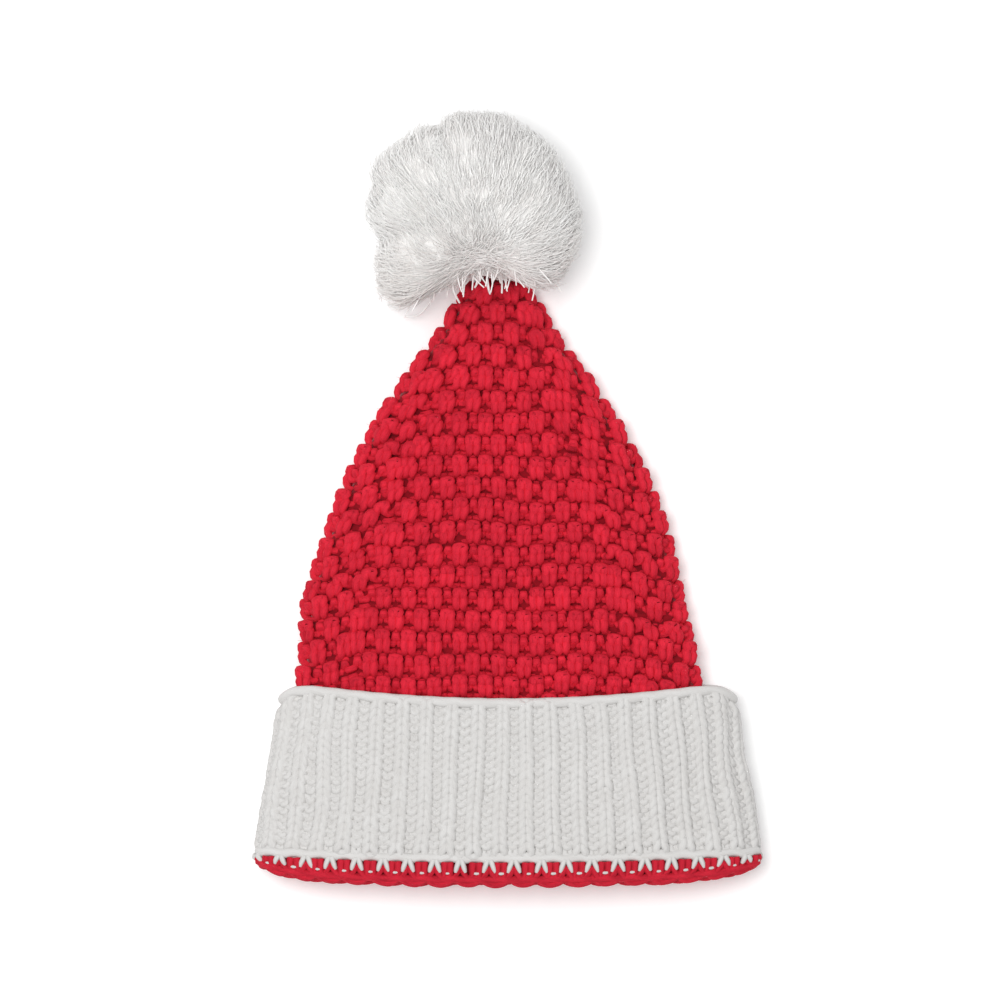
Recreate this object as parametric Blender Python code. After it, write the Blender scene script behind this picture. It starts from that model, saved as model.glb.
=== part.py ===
"""A knitted santa hat that lies flat on its back, with its cuff turned up.

X runs across the hat, Y along it from the hem to the pompom, and Z up from the surface
that it lies on. The origin is the middle of its footprint, on that surface. The crown
is a tube gathered at its tip. It runs on down inside the cuff, and the hem edging is
the fold where the two meet.
"""

from math import asin, atan2, cos, hypot, pi, radians, sin, sqrt
from random import Random

import bmesh
import bpy

# Driving sizes, in metres
GAP = 0.0003  # between pieces that touch
CROWN_BASE_WIDTH = 0.197  # where the crown comes out of the cuff
CROWN_LENGTH = 0.210  # from the cuff's upper edge to the gathered tip
CROWN_WALL = 0.0065
HOLLOW_HEIGHT = 0.012  # the room left inside the flattened tube
CUFF_WALL = 0.006
CUFF_SLACK = 0.006  # side room between crown and cuff at the cuff's upper edge
CUFF_HEIGHT = 0.0914  # from the hem's lowest point to the middle of the upper edge
CUFF_CORNER_RISE = 0.0085  # the upper edge climbs this much towards the sides
CUFF_CORNER_DROP = 0.011  # and falls this much round the side folds
HEM_FLARE = 0.0115  # the hem stands out past the cuff's upper edge on each side
HEM_HEIGHT = 0.0125
HEM_BOW = 0.003  # the hem climbs this much from its middle to its sides
SCALLOP_DEPTH = 0.002
RIB_DEPTH = 0.0016
ROW_DEPTH = 0.0018
PLEAT_DEPTH = 0.0025  # of the gathers, where they meet at the tip
CUFF_PRESS = 0.0006  # how far the cuff's ribs are flattened where they lie
CROWN_PRESS = 0.0004  # how much deeper than its rows the crown's back is flattened
POMPOM_PRESS = 0.005
POMPOM_WIDTH = 0.112
POMPOM_TOP = 0.039  # from the middle of the pompom to its crest
POMPOM_CENTRE_HEIGHT = 0.037
POMPOM_BEYOND_TIP = 0.0226  # from the crown's tip to the middle of the pompom
POMPOM_ASIDE = 0.011  # how far the pompom has flopped towards -X

# Counts
RIBS = 40
POINTS_PER_RIB = 3
CROWN_ROWS = 20
PLEATS = 10
POINTS_PER_PLEAT = 4
LOCKS = 84
POMPOM_COLUMNS = 50
POMPOM_RINGS = 34

# Shares
FOLD_HEIGHT = 0.42  # height of the side folds between underside and top
TOP_ARCH = 2.6  # exponents of the section: the top is arched, the underside flatter
UNDERSIDE_ARCH = 6.0
HEM_CORNER = 0.6  # of the hem's height, by which its corners are rounded off
CROWN_SHIFT = -0.65  # of the slack, by which the crown sits off the cuff's middle
LOCK_DEPTH = 0.16  # of the pompom's radius, between two locks
LOCK_LEAN = 0.10  # of the pompom's radius, by which a lock's end leans over
HOLLOW_END = 0.88  # of the crown's length, where the hollow closes
PLEAT_START = 0.72  # of the crown's length, where the gathers begin

# Crown above the cuff. along and centre are shares of CROWN_LENGTH and of
# CROWN_BASE_WIDTH, half_width of half the base width, lift of the height that the
# cuff's back raises the crown by, depth of the crown's depth inside the cuff, and
# relief of the depth of rows and pleats.
CROWN_COLUMNS = ("along", "centre", "half_width", "lift", "depth", "relief")
CROWN_SECTIONS = (
    (0.00, 0.000, 1.000, 1.00, 1.00, 1.00),
    (0.06, -0.003, 0.985, 0.70, 1.02, 1.00),
    (0.14, -0.008, 0.962, 0.22, 1.06, 1.00),
    (0.22, -0.012, 0.932, 0.00, 1.08, 1.00),
    (0.35, -0.008, 0.866, 0.00, 1.07, 1.00),
    (0.48, -0.005, 0.758, 0.00, 1.04, 1.00),
    (0.61, -0.010, 0.622, 0.00, 1.00, 1.00),
    (0.74, -0.008, 0.440, 0.00, 0.93, 1.00),
    (0.86, -0.008, 0.258, 0.00, 0.82, 0.90),
    (0.93, -0.006, 0.168, 0.00, 0.72, 0.55),
    (0.98, -0.004, 0.100, 0.02, 0.58, 0.20),
    (1.00, -0.004, 0.055, 0.10, 0.40, 0.10),
)

# Hem edging, as a ring of rows. inset runs from the cuff's outside to the crown's
# inside, height from the hem's lower edge to the cuff's.
HEM_COLUMNS = ("inset", "height")
HEM_ROWS = (
    (0.00, 1.00),
    (0.00, 0.52),
    (0.14, 0.14),
    (0.50, 0.00),
    (0.86, 0.14),
    (1.00, 0.52),
    (1.00, 1.00),
)

# Cuff, as a ring of rows. inset runs from its outside to its inside, height from the
# hem edging to the upper edge, and rib is the share of the ribs' depth.
CUFF_COLUMNS = ("inset", "height", "rib")
CUFF_ROWS = (
    (0.00, 0.00, 0.6),
    (0.00, 0.08, 1.0),
    (0.00, 0.90, 1.0),
    (0.04, 0.95, 0.3),
    (0.24, 0.99, 0.0),
    (0.50, 1.00, 0.0),
    (0.78, 0.985, 0.0),
    (1.00, 0.95, 0.0),
    (1.00, 0.00, 0.0),
)

# Pompom seen from above: its reach in each direction, as a share of half its width.
# Azimuth 0 is +X and 90 is +Y.
POMPOM_COLUMNS_OF_REACH = ("azimuth", "reach")
POMPOM_REACH = (
    (0, 1.01),
    (30, 0.93),
    (60, 0.89),
    (90, 0.88),
    (120, 0.88),
    (150, 0.96),
    (180, 1.01),
    (200, 0.99),
    (216, 1.11),
    (230, 1.13),
    (242, 1.04),
    (256, 0.88),
    (272, 0.88),
    (292, 0.92),
    (312, 1.01),
    (332, 1.06),
    (346, 1.04),
    (360, 1.01),
)

# Sizes worked out from those above
CROWN_DEPTH = 2 * CROWN_WALL + HOLLOW_HEIGHT
CROWN_LIFT = CUFF_WALL + GAP
CUFF_TOP_HALF = CROWN_BASE_WIDTH / 2 + CUFF_SLACK + CUFF_WALL
HEM_HALF = CUFF_TOP_HALF + HEM_FLARE
RING_POINTS = RIBS * POINTS_PER_RIB
CROWN_POINTS = PLEATS * POINTS_PER_PLEAT
CROWN_TIP_Y = CUFF_HEIGHT + CROWN_LENGTH


def read(table, columns, column, at):
    """Value of one column at a place in the first, on a smooth curve through the rows."""
    place = [row[0] for row in table]
    value = [row[columns.index(column)] for row in table]
    last = len(table) - 1
    at = min(max(at, place[0]), place[last])
    i = max(k for k in range(last) if place[k] <= at)

    def slope(k):
        low, high = max(k - 1, 0), min(k + 1, last)
        return (value[high] - value[low]) / (place[high] - place[low])

    width = place[i + 1] - place[i]
    t = (at - place[i]) / width
    rise = value[i + 1] - value[i]
    start, end = slope(i) * width, slope(i + 1) * width
    return value[i] + t * (start + t * (3 * rise - 2 * start - end + t * (start + end - 2 * rise)))


def section(centre, half, low, high, count):
    """Points evenly round a flattened tube, from the fold at +X over the top and back."""
    fold = low + FOLD_HEIGHT * (high - low)
    fine = []
    for i in range(12 * count):
        turn = 2 * pi * i / (12 * count)
        across = cos(turn)
        top = turn < pi
        arch = (1 - abs(across) ** (TOP_ARCH if top else UNDERSIDE_ARCH)) ** 0.5
        fine.append((centre + half * across, fold + arch * ((high - fold) if top else (low - fold))))
    fine.append(fine[0])
    way = [0.0]
    for a, b in zip(fine, fine[1:]):
        way.append(way[-1] + hypot(b[0] - a[0], b[1] - a[1]))
    points, k = [], 0
    for i in range(count):
        wanted = way[-1] * i / count
        while way[k + 1] < wanted:
            k += 1
        share = (wanted - way[k]) / (way[k + 1] - way[k])
        points.append(tuple(a + share * (b - a) for a, b in zip(fine[k], fine[k + 1])))
    return points


def pushed(points, distances):
    """The points of a closed section moved outwards, each by its own distance."""
    moved = []
    for i, (x, z) in enumerate(points):
        before, after = points[i - 1], points[(i + 1) % len(points)]
        along_x, along_z = after[0] - before[0], after[1] - before[1]
        size = hypot(along_x, along_z)
        moved.append((x + distances[i] * along_z / size, z - distances[i] * along_x / size))
    return moved


def between(a, b, share):
    return a + (b - a) * share


def hem_lower_edge(x):
    across = min(abs(x) / HEM_HALF, 1)
    return HEM_BOW * across**2 + HEM_CORNER * HEM_HEIGHT * across**8


def hem_upper_edge(x):
    across = min(abs(x) / HEM_HALF, 1)
    return HEM_HEIGHT + HEM_BOW * across**2


def cuff_upper_edge(x):
    across = min(abs(x) / CUFF_TOP_HALF, 1)
    return CUFF_HEIGHT + CUFF_CORNER_RISE * across**2 - CUFF_CORNER_DROP * across**20


def cuff_section(inset, height, count):
    """Section of the cuff at shares of its wall and of its height."""
    half = between(HEM_HALF, CUFF_TOP_HALF, height) - inset * CUFF_WALL
    low = between(-CUFF_PRESS, CUFF_WALL, inset)
    high = CROWN_LIFT + CROWN_DEPTH + GAP + (1 - inset) * CUFF_WALL
    return section(0, half, low, high, count)


def crown_in_cuff(height, inset):
    """Centre, half width, underside and top of the crown at a share of the cuff's height."""
    slack = GAP + CUFF_SLACK * height
    half = between(HEM_HALF, CUFF_TOP_HALF, height) - CUFF_WALL - slack
    return (
        CROWN_SHIFT * CUFF_SLACK * height,
        half - inset,
        CROWN_LIFT + inset,
        CROWN_LIFT + CROWN_DEPTH - inset,
    )


def crown_above_cuff(along, inset):
    """Centre, half width, underside and top of the crown at a share of its length."""
    def at(column):
        return read(CROWN_SECTIONS, CROWN_COLUMNS, column, along)

    base_half, base = CROWN_BASE_WIDTH / 2 - GAP, CROWN_SHIFT * CUFF_SLACK
    low = CROWN_LIFT * at("lift")
    press = 0 if inset else (1 - at("lift")) * (ROW_DEPTH + CROWN_PRESS)
    return (
        base + at("centre") * CROWN_BASE_WIDTH,
        at("half_width") * base_half - inset,
        low + inset - press,
        low + at("depth") * CROWN_DEPTH - inset,
    )


def loft(name, loops, ring):
    """Closed mesh through loops of the same count. A ring joins its last loop to its first,
    and otherwise a point closes each end."""
    mesh = bmesh.new()
    rows = [[mesh.verts.new(point) for point in loop] for loop in loops]
    count = len(rows[0])
    for a, b in zip(rows, rows[1:] + rows[:1] if ring else rows[1:]):
        for i in range(count):
            j = (i + 1) % count
            mesh.faces.new((a[i], a[j], b[j], b[i]))
    if not ring:
        for row in (rows[0], rows[-1]):
            middle = [sum(v.co[k] for v in row) / count for k in range(3)]
            end = mesh.verts.new(middle)
            for i in range(count):
                mesh.faces.new((row[i], row[(i + 1) % count], end))
    bmesh.ops.recalc_face_normals(mesh, faces=mesh.faces)
    data = bpy.data.meshes.new(name)
    mesh.to_mesh(data)
    mesh.free()
    piece = bpy.data.objects.new(name, data)
    bpy.context.collection.objects.link(piece)
    return piece


def on_floor(points, y_of):
    """Section points as points in space, with what would reach below the surface pressed flat."""
    return [(x, y_of(x), max(z, 0.0)) for x, z in points]


def crown_loops(stations, inset, ridged):
    """Loops of the crown above the cuff. Ridged ones have a valley at every other station,
    between two rows, and pleats that deepen towards the tip."""
    loops = []
    for i, along in enumerate(stations):
        points = section(*crown_above_cuff(along, inset), CROWN_POINTS)
        if ridged:
            relief = read(CROWN_SECTIONS, CROWN_COLUMNS, "relief", along)
            row = relief * ROW_DEPTH * (i % 2 == 0)
            pleat = relief * PLEAT_DEPTH * max(along - PLEAT_START, 0) / (1 - PLEAT_START)
            valleys = [row + pleat * (k % POINTS_PER_PLEAT == 0) for k in range(CROWN_POINTS)]
            points = pushed(points, [-depth for depth in valleys])
        y = CUFF_HEIGHT + along * CROWN_LENGTH
        loops.append(on_floor(points, lambda x, y=y: y))
    return loops


def crown_loops_in_cuff(heights, inset):
    """Loops of the crown inside the cuff, which start on the hem edging."""
    loops = []
    for height in heights:
        points = section(*crown_in_cuff(height, inset), CROWN_POINTS)
        loops.append(
            on_floor(
                points,
                lambda x, height=height: between(hem_upper_edge(x) + GAP, CUFF_HEIGHT, height),
            )
        )
    return loops


def make_crown():
    hidden = (0.0, 0.35, 0.7)
    hollow = (HOLLOW_END, 0.8, 0.66, 0.5, 0.34, 0.2, 0.1, 0.0)
    rows = [0.5 * i / CROWN_ROWS for i in range(2 * CROWN_ROWS + 1)]
    inside = crown_loops(hollow, CROWN_WALL, ridged=False)
    inside += crown_loops_in_cuff(reversed(hidden), CROWN_WALL)
    outside = crown_loops_in_cuff(hidden, 0.0) + crown_loops(rows, 0.0, ridged=True)
    return loft("crown", inside + outside, ring=False)


def make_cuff():
    loops = []
    for inset, height, rib in CUFF_ROWS:
        points = cuff_section(inset, height, RING_POINTS)
        valleys = [-RIB_DEPTH * rib if i % POINTS_PER_RIB == 0 else 0.0 for i in range(RING_POINTS)]
        points = pushed(points, valleys)
        loops.append(
            on_floor(
                points,
                lambda x, height=height: between(hem_upper_edge(x) + GAP, cuff_upper_edge(x), height),
            )
        )
    return loft("cuff", loops, ring=True)


def make_hem_edging():
    outer = (HEM_HALF, -CUFF_PRESS, CROWN_LIFT + CROWN_DEPTH + GAP + CUFF_WALL)
    _, half, low, high = crown_in_cuff(0.0, CROWN_WALL)
    inner = (half, low, high)
    loops = []
    for inset, height in HEM_ROWS:
        points = section(0, *(between(a, b, inset) for a, b in zip(outer, inner)), RING_POINTS)
        loop = []
        for i, (x, z) in enumerate(points):
            notch = SCALLOP_DEPTH * (1 - height) * (i % POINTS_PER_RIB == 0)
            y = between(hem_lower_edge(x), hem_upper_edge(x), height) + notch
            loop.append((x, y, max(z, 0.0)))
        loops.append(loop)
    return loft("hem_edging", loops, ring=True)


def lock_directions():
    """Directions spread evenly over a ball, one for each lock."""
    golden = pi * (3 - sqrt(5))
    found = []
    for i in range(LOCKS):
        up = 1 - 2 * (i + 0.5) / LOCKS
        level = sqrt(1 - up * up)
        found.append((level * cos(golden * i), level * sin(golden * i), up))
    return found


def pompom_point(direction, locks, lengths, leans):
    """Place of one surface point: out to the pompom's form, less the valley between locks."""
    near = [sum(a * b for a, b in zip(direction, lock)) for lock in locks]
    k = near.index(max(near))
    spread = 1.9 / sqrt(LOCKS)
    away = min(hypot(*(a - b for a, b in zip(direction, locks[k]))) / spread, 1.0)
    fullness = lengths[k] * (1 - LOCK_DEPTH * away**1.6)
    azimuth = atan2(direction[1], direction[0]) * 180 / pi % 360
    level = cos(asin(direction[2]))
    reach = read(POMPOM_REACH, POMPOM_COLUMNS_OF_REACH, "reach", azimuth) * POMPOM_WIDTH / 2
    rise = POMPOM_TOP if direction[2] > 0 else POMPOM_CENTRE_HEIGHT + POMPOM_PRESS
    size = 1 / sqrt((level / reach) ** 2 + (direction[2] / rise) ** 2)
    lean = LOCK_LEAN * max(direction[2], 0) * (1 - away) * size
    return (
        size * fullness * direction[0] + lean * cos(leans[k]),
        size * fullness * direction[1] + lean * sin(leans[k]),
        size * fullness * direction[2],
    )


def make_pompom(tip_cutter):
    """Locks fused to one ball, flattened below and dented by the crown's tip."""
    chance = Random(24)
    locks = lock_directions()
    lengths = [chance.uniform(0.95, 1.0) for _ in locks]
    leans = [radians(chance.uniform(0, 360)) for _ in locks]
    centre_x = CROWN_SHIFT * CUFF_SLACK - POMPOM_ASIDE
    centre_y = CROWN_TIP_Y + POMPOM_BEYOND_TIP
    loops = []
    for ring in range(1, POMPOM_RINGS):
        tilt = pi * ring / POMPOM_RINGS
        loop = []
        for column in range(POMPOM_COLUMNS):
            turn = 2 * pi * column / POMPOM_COLUMNS
            direction = (sin(tilt) * cos(turn), sin(tilt) * sin(turn), cos(tilt))
            x, y, z = pompom_point(direction, locks, lengths, leans)
            loop.append((centre_x + x, centre_y + y, max(POMPOM_CENTRE_HEIGHT + z, 0.0)))
        loops.append(loop)
    pompom = loft("pompom", loops, ring=False)
    dent = pompom.modifiers.new("dent", "BOOLEAN")
    dent.object = tip_cutter
    dent.operation = "DIFFERENCE"
    dent.solver = "EXACT"
    return pompom


def make_tip_cutter():
    """The crown's upper end grown by the gap, which dents the pompom."""
    stations = [0.80 + 0.02 * i for i in range(11)]
    loops = []
    for along in stations:
        points = pushed(section(*crown_above_cuff(along, 0.0), CROWN_POINTS), [GAP] * CROWN_POINTS)
        y = CUFF_HEIGHT + along * CROWN_LENGTH + (GAP if along == stations[-1] else 0)
        loops.append([(x, y, z) for x, z in points])
    cutter = loft("tip_cutter", loops, ring=False)
    cutter.hide_render = True
    cutter.display_type = "WIRE"
    return cutter


def dress(piece, name, colour, roughness):
    """One knitted finish on one piece, shaded smooth but for its sharp edges."""
    material = bpy.data.materials.new(name)
    material.use_nodes = True
    shader = material.node_tree.nodes["Principled BSDF"]
    shader.inputs["Base Color"].default_value = (*colour, 1.0)
    shader.inputs["Roughness"].default_value = roughness
    shader.inputs["Metallic"].default_value = 0.0
    piece.data.materials.append(material)
    piece.data.shade_smooth()
    piece.data.set_sharp_from_angle(angle=radians(50))


def centre_on_footprint(pieces):
    """Moves all meshes so that the origin is the middle of the footprint."""
    shown = [piece for piece in pieces if not piece.hide_render]
    corners = [vertex.co for piece in shown for vertex in piece.data.vertices]
    middle = [(min(c[k] for c in corners) + max(c[k] for c in corners)) / 2 for k in range(2)]
    for piece in pieces:
        for vertex in piece.data.vertices:
            vertex.co.x -= middle[0]
            vertex.co.y -= middle[1]


def main():
    for thing in list(bpy.data.objects):
        bpy.data.objects.remove(thing, do_unlink=True)
    cutter = make_tip_cutter()
    crown, cuff, hem = make_crown(), make_cuff(), make_hem_edging()
    pompom = make_pompom(cutter)
    centre_on_footprint([crown, cuff, hem, pompom, cutter])
    dress(crown, "red knit", (0.578, 0.013, 0.032), 0.85)
    dress(cuff, "white rib", (0.730, 0.730, 0.700), 0.85)
    dress(hem, "red edging", (0.558, 0.012, 0.030), 0.85)
    dress(pompom, "white yarn", (0.753, 0.753, 0.730), 0.9)


main()
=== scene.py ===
"""The looks of a knitted santa hat that lies flat on its back, seen from straight above.

The crown, the cuff and the hem edging are worked loop by loop from swept yarn, on the
flattened tube that the solids show. The pompom is cut yarn, frayed into fibres round a
core. Lengths are in metres: X runs across the hat, Y from the hem to the pompom and Z
up from the floor.
"""

import logging
from dataclasses import dataclass, field
from enum import Enum
from math import pi, sqrt

import bmesh
import bpy
import numpy as np
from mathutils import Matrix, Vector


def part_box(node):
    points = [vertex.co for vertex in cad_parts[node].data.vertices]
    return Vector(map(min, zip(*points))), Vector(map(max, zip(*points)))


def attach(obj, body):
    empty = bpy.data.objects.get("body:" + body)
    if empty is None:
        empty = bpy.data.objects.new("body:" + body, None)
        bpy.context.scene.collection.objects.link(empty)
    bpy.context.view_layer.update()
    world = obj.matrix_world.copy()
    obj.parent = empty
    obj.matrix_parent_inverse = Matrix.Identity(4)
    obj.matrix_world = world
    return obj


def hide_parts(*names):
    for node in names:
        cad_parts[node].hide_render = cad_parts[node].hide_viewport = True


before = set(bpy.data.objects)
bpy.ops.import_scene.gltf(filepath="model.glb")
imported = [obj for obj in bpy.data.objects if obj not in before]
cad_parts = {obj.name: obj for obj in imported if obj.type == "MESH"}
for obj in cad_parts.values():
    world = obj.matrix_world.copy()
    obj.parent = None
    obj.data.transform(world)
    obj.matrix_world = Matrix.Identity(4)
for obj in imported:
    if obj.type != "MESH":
        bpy.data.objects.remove(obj)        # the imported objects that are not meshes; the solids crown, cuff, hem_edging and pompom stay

LOG = logging.getLogger("knitted_hat")
GAP = 0.0003  # between pieces that touch
FLOOR_EASE = 0.0006  # over which strands near the floor are pressed flat
HAIR_STEPS = ((0.3, 1.0), (0.7, 0.9), (1.0, 0.6))  # shares of a hair's length and of its radius
HAIR_LENGTHS = (0.8, 1.25)
HAIR_BEND = 0.5
HAIR_TONE = 0.8
HAIR_FLOOR = 0.0003  # least height of a hair
POMPOM_PLACE = (-0.011, 0.0226, 0.037)  # across and along from the crown's tip, and height
WHITE = (1.0, 1.0, 1.0, 1.0)
Array, Chance = np.ndarray, np.random.Generator
Material, Object, Socket = bpy.types.Material, bpy.types.Object, bpy.types.NodeSocket
Table = tuple[tuple[float, ...], ...]
Triple = tuple[float, float, float]


class Face(Enum):
    """Which side of a stitch shows."""

    KNIT = 1
    PURL = -1


class Way(Enum):
    """Which way along Y the fabric was worked."""

    UP = 1
    DOWN = -1


def smooth_read(table: Table, column: int, at: Array) -> Array:
    """Reads one column of a table on a smooth curve through its rows.

    Args:
        table: Rows whose first value is the place, in rising order.
        column: Index of the column that is read.
        at: Places to read it at.

    Returns:
        The column's value at each place.
    """
    place = np.array([row[0] for row in table])
    value = np.array([row[column] for row in table])
    slope = np.gradient(value, place)
    at = np.clip(np.asarray(at, float), place[0], place[-1])
    i = np.clip(np.searchsorted(place, at, side="right") - 1, 0, len(place) - 2)
    width = place[i + 1] - place[i]
    t = (at - place[i]) / width
    rise = value[i + 1] - value[i]
    start, end = slope[i] * width, slope[i + 1] * width
    return value[i] + t * (start + t * (3 * rise - 2 * start - end + t * (start + end - 2 * rise)))


def between(a: float, b: float, share: float) -> float:
    """The value at a share of the way from a to b."""
    return a + (b - a) * share


def press(line: Array, least: float) -> None:
    """Eases points upwards, so that none is under the least height and their order stays."""
    over = line[:, 2] - least
    line[:, 2] = least + 0.5 * (over + np.sqrt(over**2 + FLOOR_EASE**2))


def unit(vector: Array) -> Array:
    """Vectors shortened or stretched to a length of 1."""
    return vector / np.maximum(np.linalg.norm(vector, axis=-1, keepdims=True), 1e-9)


def placed(name: str, data: bpy.types.ID) -> Object:
    """Links a mesh, lamp or camera into the scene as an object.

    Args:
        name: Name of the object.
        data: What it shows.

    Returns:
        The object, at the origin.
    """
    item = bpy.data.objects.new(name, data)
    bpy.context.collection.objects.link(item)
    return item


@dataclass(frozen=True)
class Ripple:
    """A gentle unevenness over the fabric, as a sum of a few waves."""

    height: float
    length: float
    seed: int
    waves: int = 7

    def at(self, x: Array, y: Array) -> Array:
        """Height of the unevenness at each place.

        Args:
            x: Places across.
            y: Places along.

        Returns:
            One height for each place.
        """
        chance = np.random.default_rng(self.seed)
        total = np.zeros(np.shape(x))
        for _ in range(self.waves):
            turn, phase, stretch = chance.uniform((0, 0, 0.6), (2 * pi, 2 * pi, 1.5))
            way = x * np.cos(turn) + y * np.sin(turn)
            total = total + np.sin(2 * pi * way / (self.length * stretch) + phase)
        return self.height * total / sqrt(self.waves)


@dataclass(frozen=True)
class FlatTube:
    """Section of a tube that lies flattened, arched above and flatter below."""

    centre: float
    half: float
    low: float
    high: float
    fold_height: float = 0.42
    top_arch: float = 2.6
    underside_arch: float = 6.0

    def shrunk(self, inset: float) -> "FlatTube":
        """The same section moved inwards by an inset."""
        return FlatTube(self.centre, self.half - inset, self.low + inset, self.high - inset)

    def around(self, count: int, fine: int = 720) -> Array:
        """Points evenly round the section, from the fold at +X over the top and back.

        Args:
            count: Number of points.
            fine: Number of steps of the curve that they are spaced on.

        Returns:
            An array of x and z for each point.
        """
        turn = np.linspace(0, 2 * pi, fine + 1)
        top = turn < pi
        fold = between(self.low, self.high, self.fold_height)
        arch = np.sqrt(1 - np.abs(np.cos(turn)) ** np.where(top, self.top_arch, self.underside_arch))
        x = self.centre + self.half * np.cos(turn)
        z = fold + arch * np.where(top, self.high - fold, self.low - fold)
        way = np.concatenate([[0], np.cumsum(np.hypot(np.diff(x), np.diff(z)))])
        wanted = way[-1] * np.arange(count) / count
        return np.stack([np.interp(wanted, way, x), np.interp(wanted, way, z)], axis=1)


class Surface:
    """A surface round the hat, known by a grid of points: rows along it, columns round it."""

    def __init__(self, points: Array, flipped: bool = False) -> None:
        """Keeps the grid and works out which way is outwards.

        Args:
            points: Array of rows by columns by 3.
            flipped: Whether the rows run the other way, from the upper edge down.
        """
        self.points = points
        around = np.roll(points, -1, axis=1) - np.roll(points, 1, axis=1)
        along = np.gradient(points, axis=0)
        outward = np.cross(along, around)
        size = np.linalg.norm(outward, axis=2, keepdims=True)
        self.outward = outward / np.maximum(size, 1e-12) * (-1 if flipped else 1)
        self.girth = np.linalg.norm(points - np.roll(points, 1, axis=1), axis=2).sum(axis=1)

    def girth_at(self, row: float) -> float:
        """Length once round at a row, which may lie between two."""
        return float(np.interp(row, np.arange(len(self.girth)), self.girth))

    def ring(self, row: float) -> Array:
        """The points once round at a row, which may lie between two."""
        low = int(np.clip(np.floor(row), 0, len(self.points) - 2))
        return between(self.points[low], self.points[low + 1], row - low)

    def _mix(self, grid: Array, row: Array, turn: Array) -> Array:
        """Reads a grid between its points.

        Args:
            grid: The grid that is read.
            row: Rows, which may lie between two.
            turn: Places round, in turns from the fold at +X.

        Returns:
            One vector for each place.
        """
        rows, columns = grid.shape[:2]
        row = np.clip(row, 0, rows - 1.001)
        column = (turn % 1.0) * columns
        i, j = np.floor(row).astype(int), np.floor(column).astype(int) % columns
        s, t = (row - i)[:, None], (column - np.floor(column))[:, None]
        k = (j + 1) % columns
        near = grid[i, j] * (1 - t) + grid[i, k] * t
        far = grid[i + 1, j] * (1 - t) + grid[i + 1, k] * t
        return near * (1 - s) + far * s

    def place(self, row: Array, turn: Array, out: Array) -> Array:
        """Points over the surface.

        Args:
            row: Rows, which may lie between two.
            turn: Places round, in turns from the fold at +X.
            out: Heights outwards from the surface.

        Returns:
            An array of points.
        """
        outward = self._mix(self.outward, row, turn)
        outward /= np.linalg.norm(outward, axis=1, keepdims=True)
        return self._mix(self.points, row, turn) + outward * np.asarray(out)[:, None]


@dataclass
class Skein:
    """Yarn that is gathered as centre lines before it is swept."""

    lines: list[Array] = field(default_factory=list)
    thick: list[Array] = field(default_factory=list)
    tone: list[Array] = field(default_factory=list)
    closed: list[bool] = field(default_factory=list)

    def add(self, line: Array, thick: Array, tone: Array, closed: bool) -> None:
        """Adds one length of yarn.

        Args:
            line: Its points.
            thick: Its radius at each point, as a share of the sweep's radius.
            tone: A lightness from 0 to 1 at each point.
            closed: Whether its last point joins its first.
        """
        self.lines.append(line)
        self.thick.append(thick)
        self.tone.append(tone)
        self.closed.append(closed)

    def add_hairs(self, line: Array, outer: Array, count: int, chance: Chance) -> None:
        """Adds loose hairs that stand out from a length of yarn.

        Args:
            line: Points along the yarn.
            outer: Where a hair from each of them would end, if it were straight.
            count: Number of hairs.
            chance: Source of their places and bends.
        """
        steps, thick = np.array(HAIR_STEPS).T
        steps = steps[:, None]
        pick = chance.integers(0, len(line), count)
        way = (outer - line)[pick] * chance.uniform(*HAIR_LENGTHS, (count, 1))
        bend = chance.normal(0, HAIR_BEND, (count, 3)) * np.linalg.norm(way, axis=1, keepdims=True)
        for start, straight, aside in zip(line[pick], way, bend):
            hair = start + straight * steps + aside * steps**2
            hair[:, 2] = np.maximum(hair[:, 2], HAIR_FLOOR)
            self.add(hair, thick, np.full(len(thick), HAIR_TONE), closed=False)

    def mesh(self, name: str) -> bpy.types.Mesh:
        """Makes one mesh of edges of the centre lines.

        Args:
            name: Name of the mesh.

        Returns:
            The mesh, with the sweep's attributes on its points.
        """
        edges, along, start = [], [], 0
        for line, closed in zip(self.lines, self.closed):
            count = len(line)
            steps = np.arange(start, start + count - 1)
            edges.append(np.stack([steps, steps + 1], axis=1))
            if closed:
                edges.append(np.array([[start + count - 1, start]]))
            lengths = np.linalg.norm(np.diff(line, axis=0), axis=1)
            along.append(np.concatenate([[0], np.cumsum(lengths)]))
            start += count
        mesh = bpy.data.meshes.new(name)
        points, joined = np.concatenate(self.lines), np.concatenate(edges)
        mesh.vertices.add(len(points))
        mesh.vertices.foreach_set("co", points.astype(np.float32).ravel())
        mesh.edges.add(len(joined))
        mesh.edges.foreach_set("vertices", joined.astype(np.int32).ravel())
        columns = {"thick": self.thick, "tone": self.tone, "along": along}
        for label, values in columns.items():
            attribute = mesh.attributes.new(label, "FLOAT", "POINT")
            attribute.data.foreach_set("value", np.concatenate(values).astype(np.float32))
        mesh.update()
        return mesh


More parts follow.
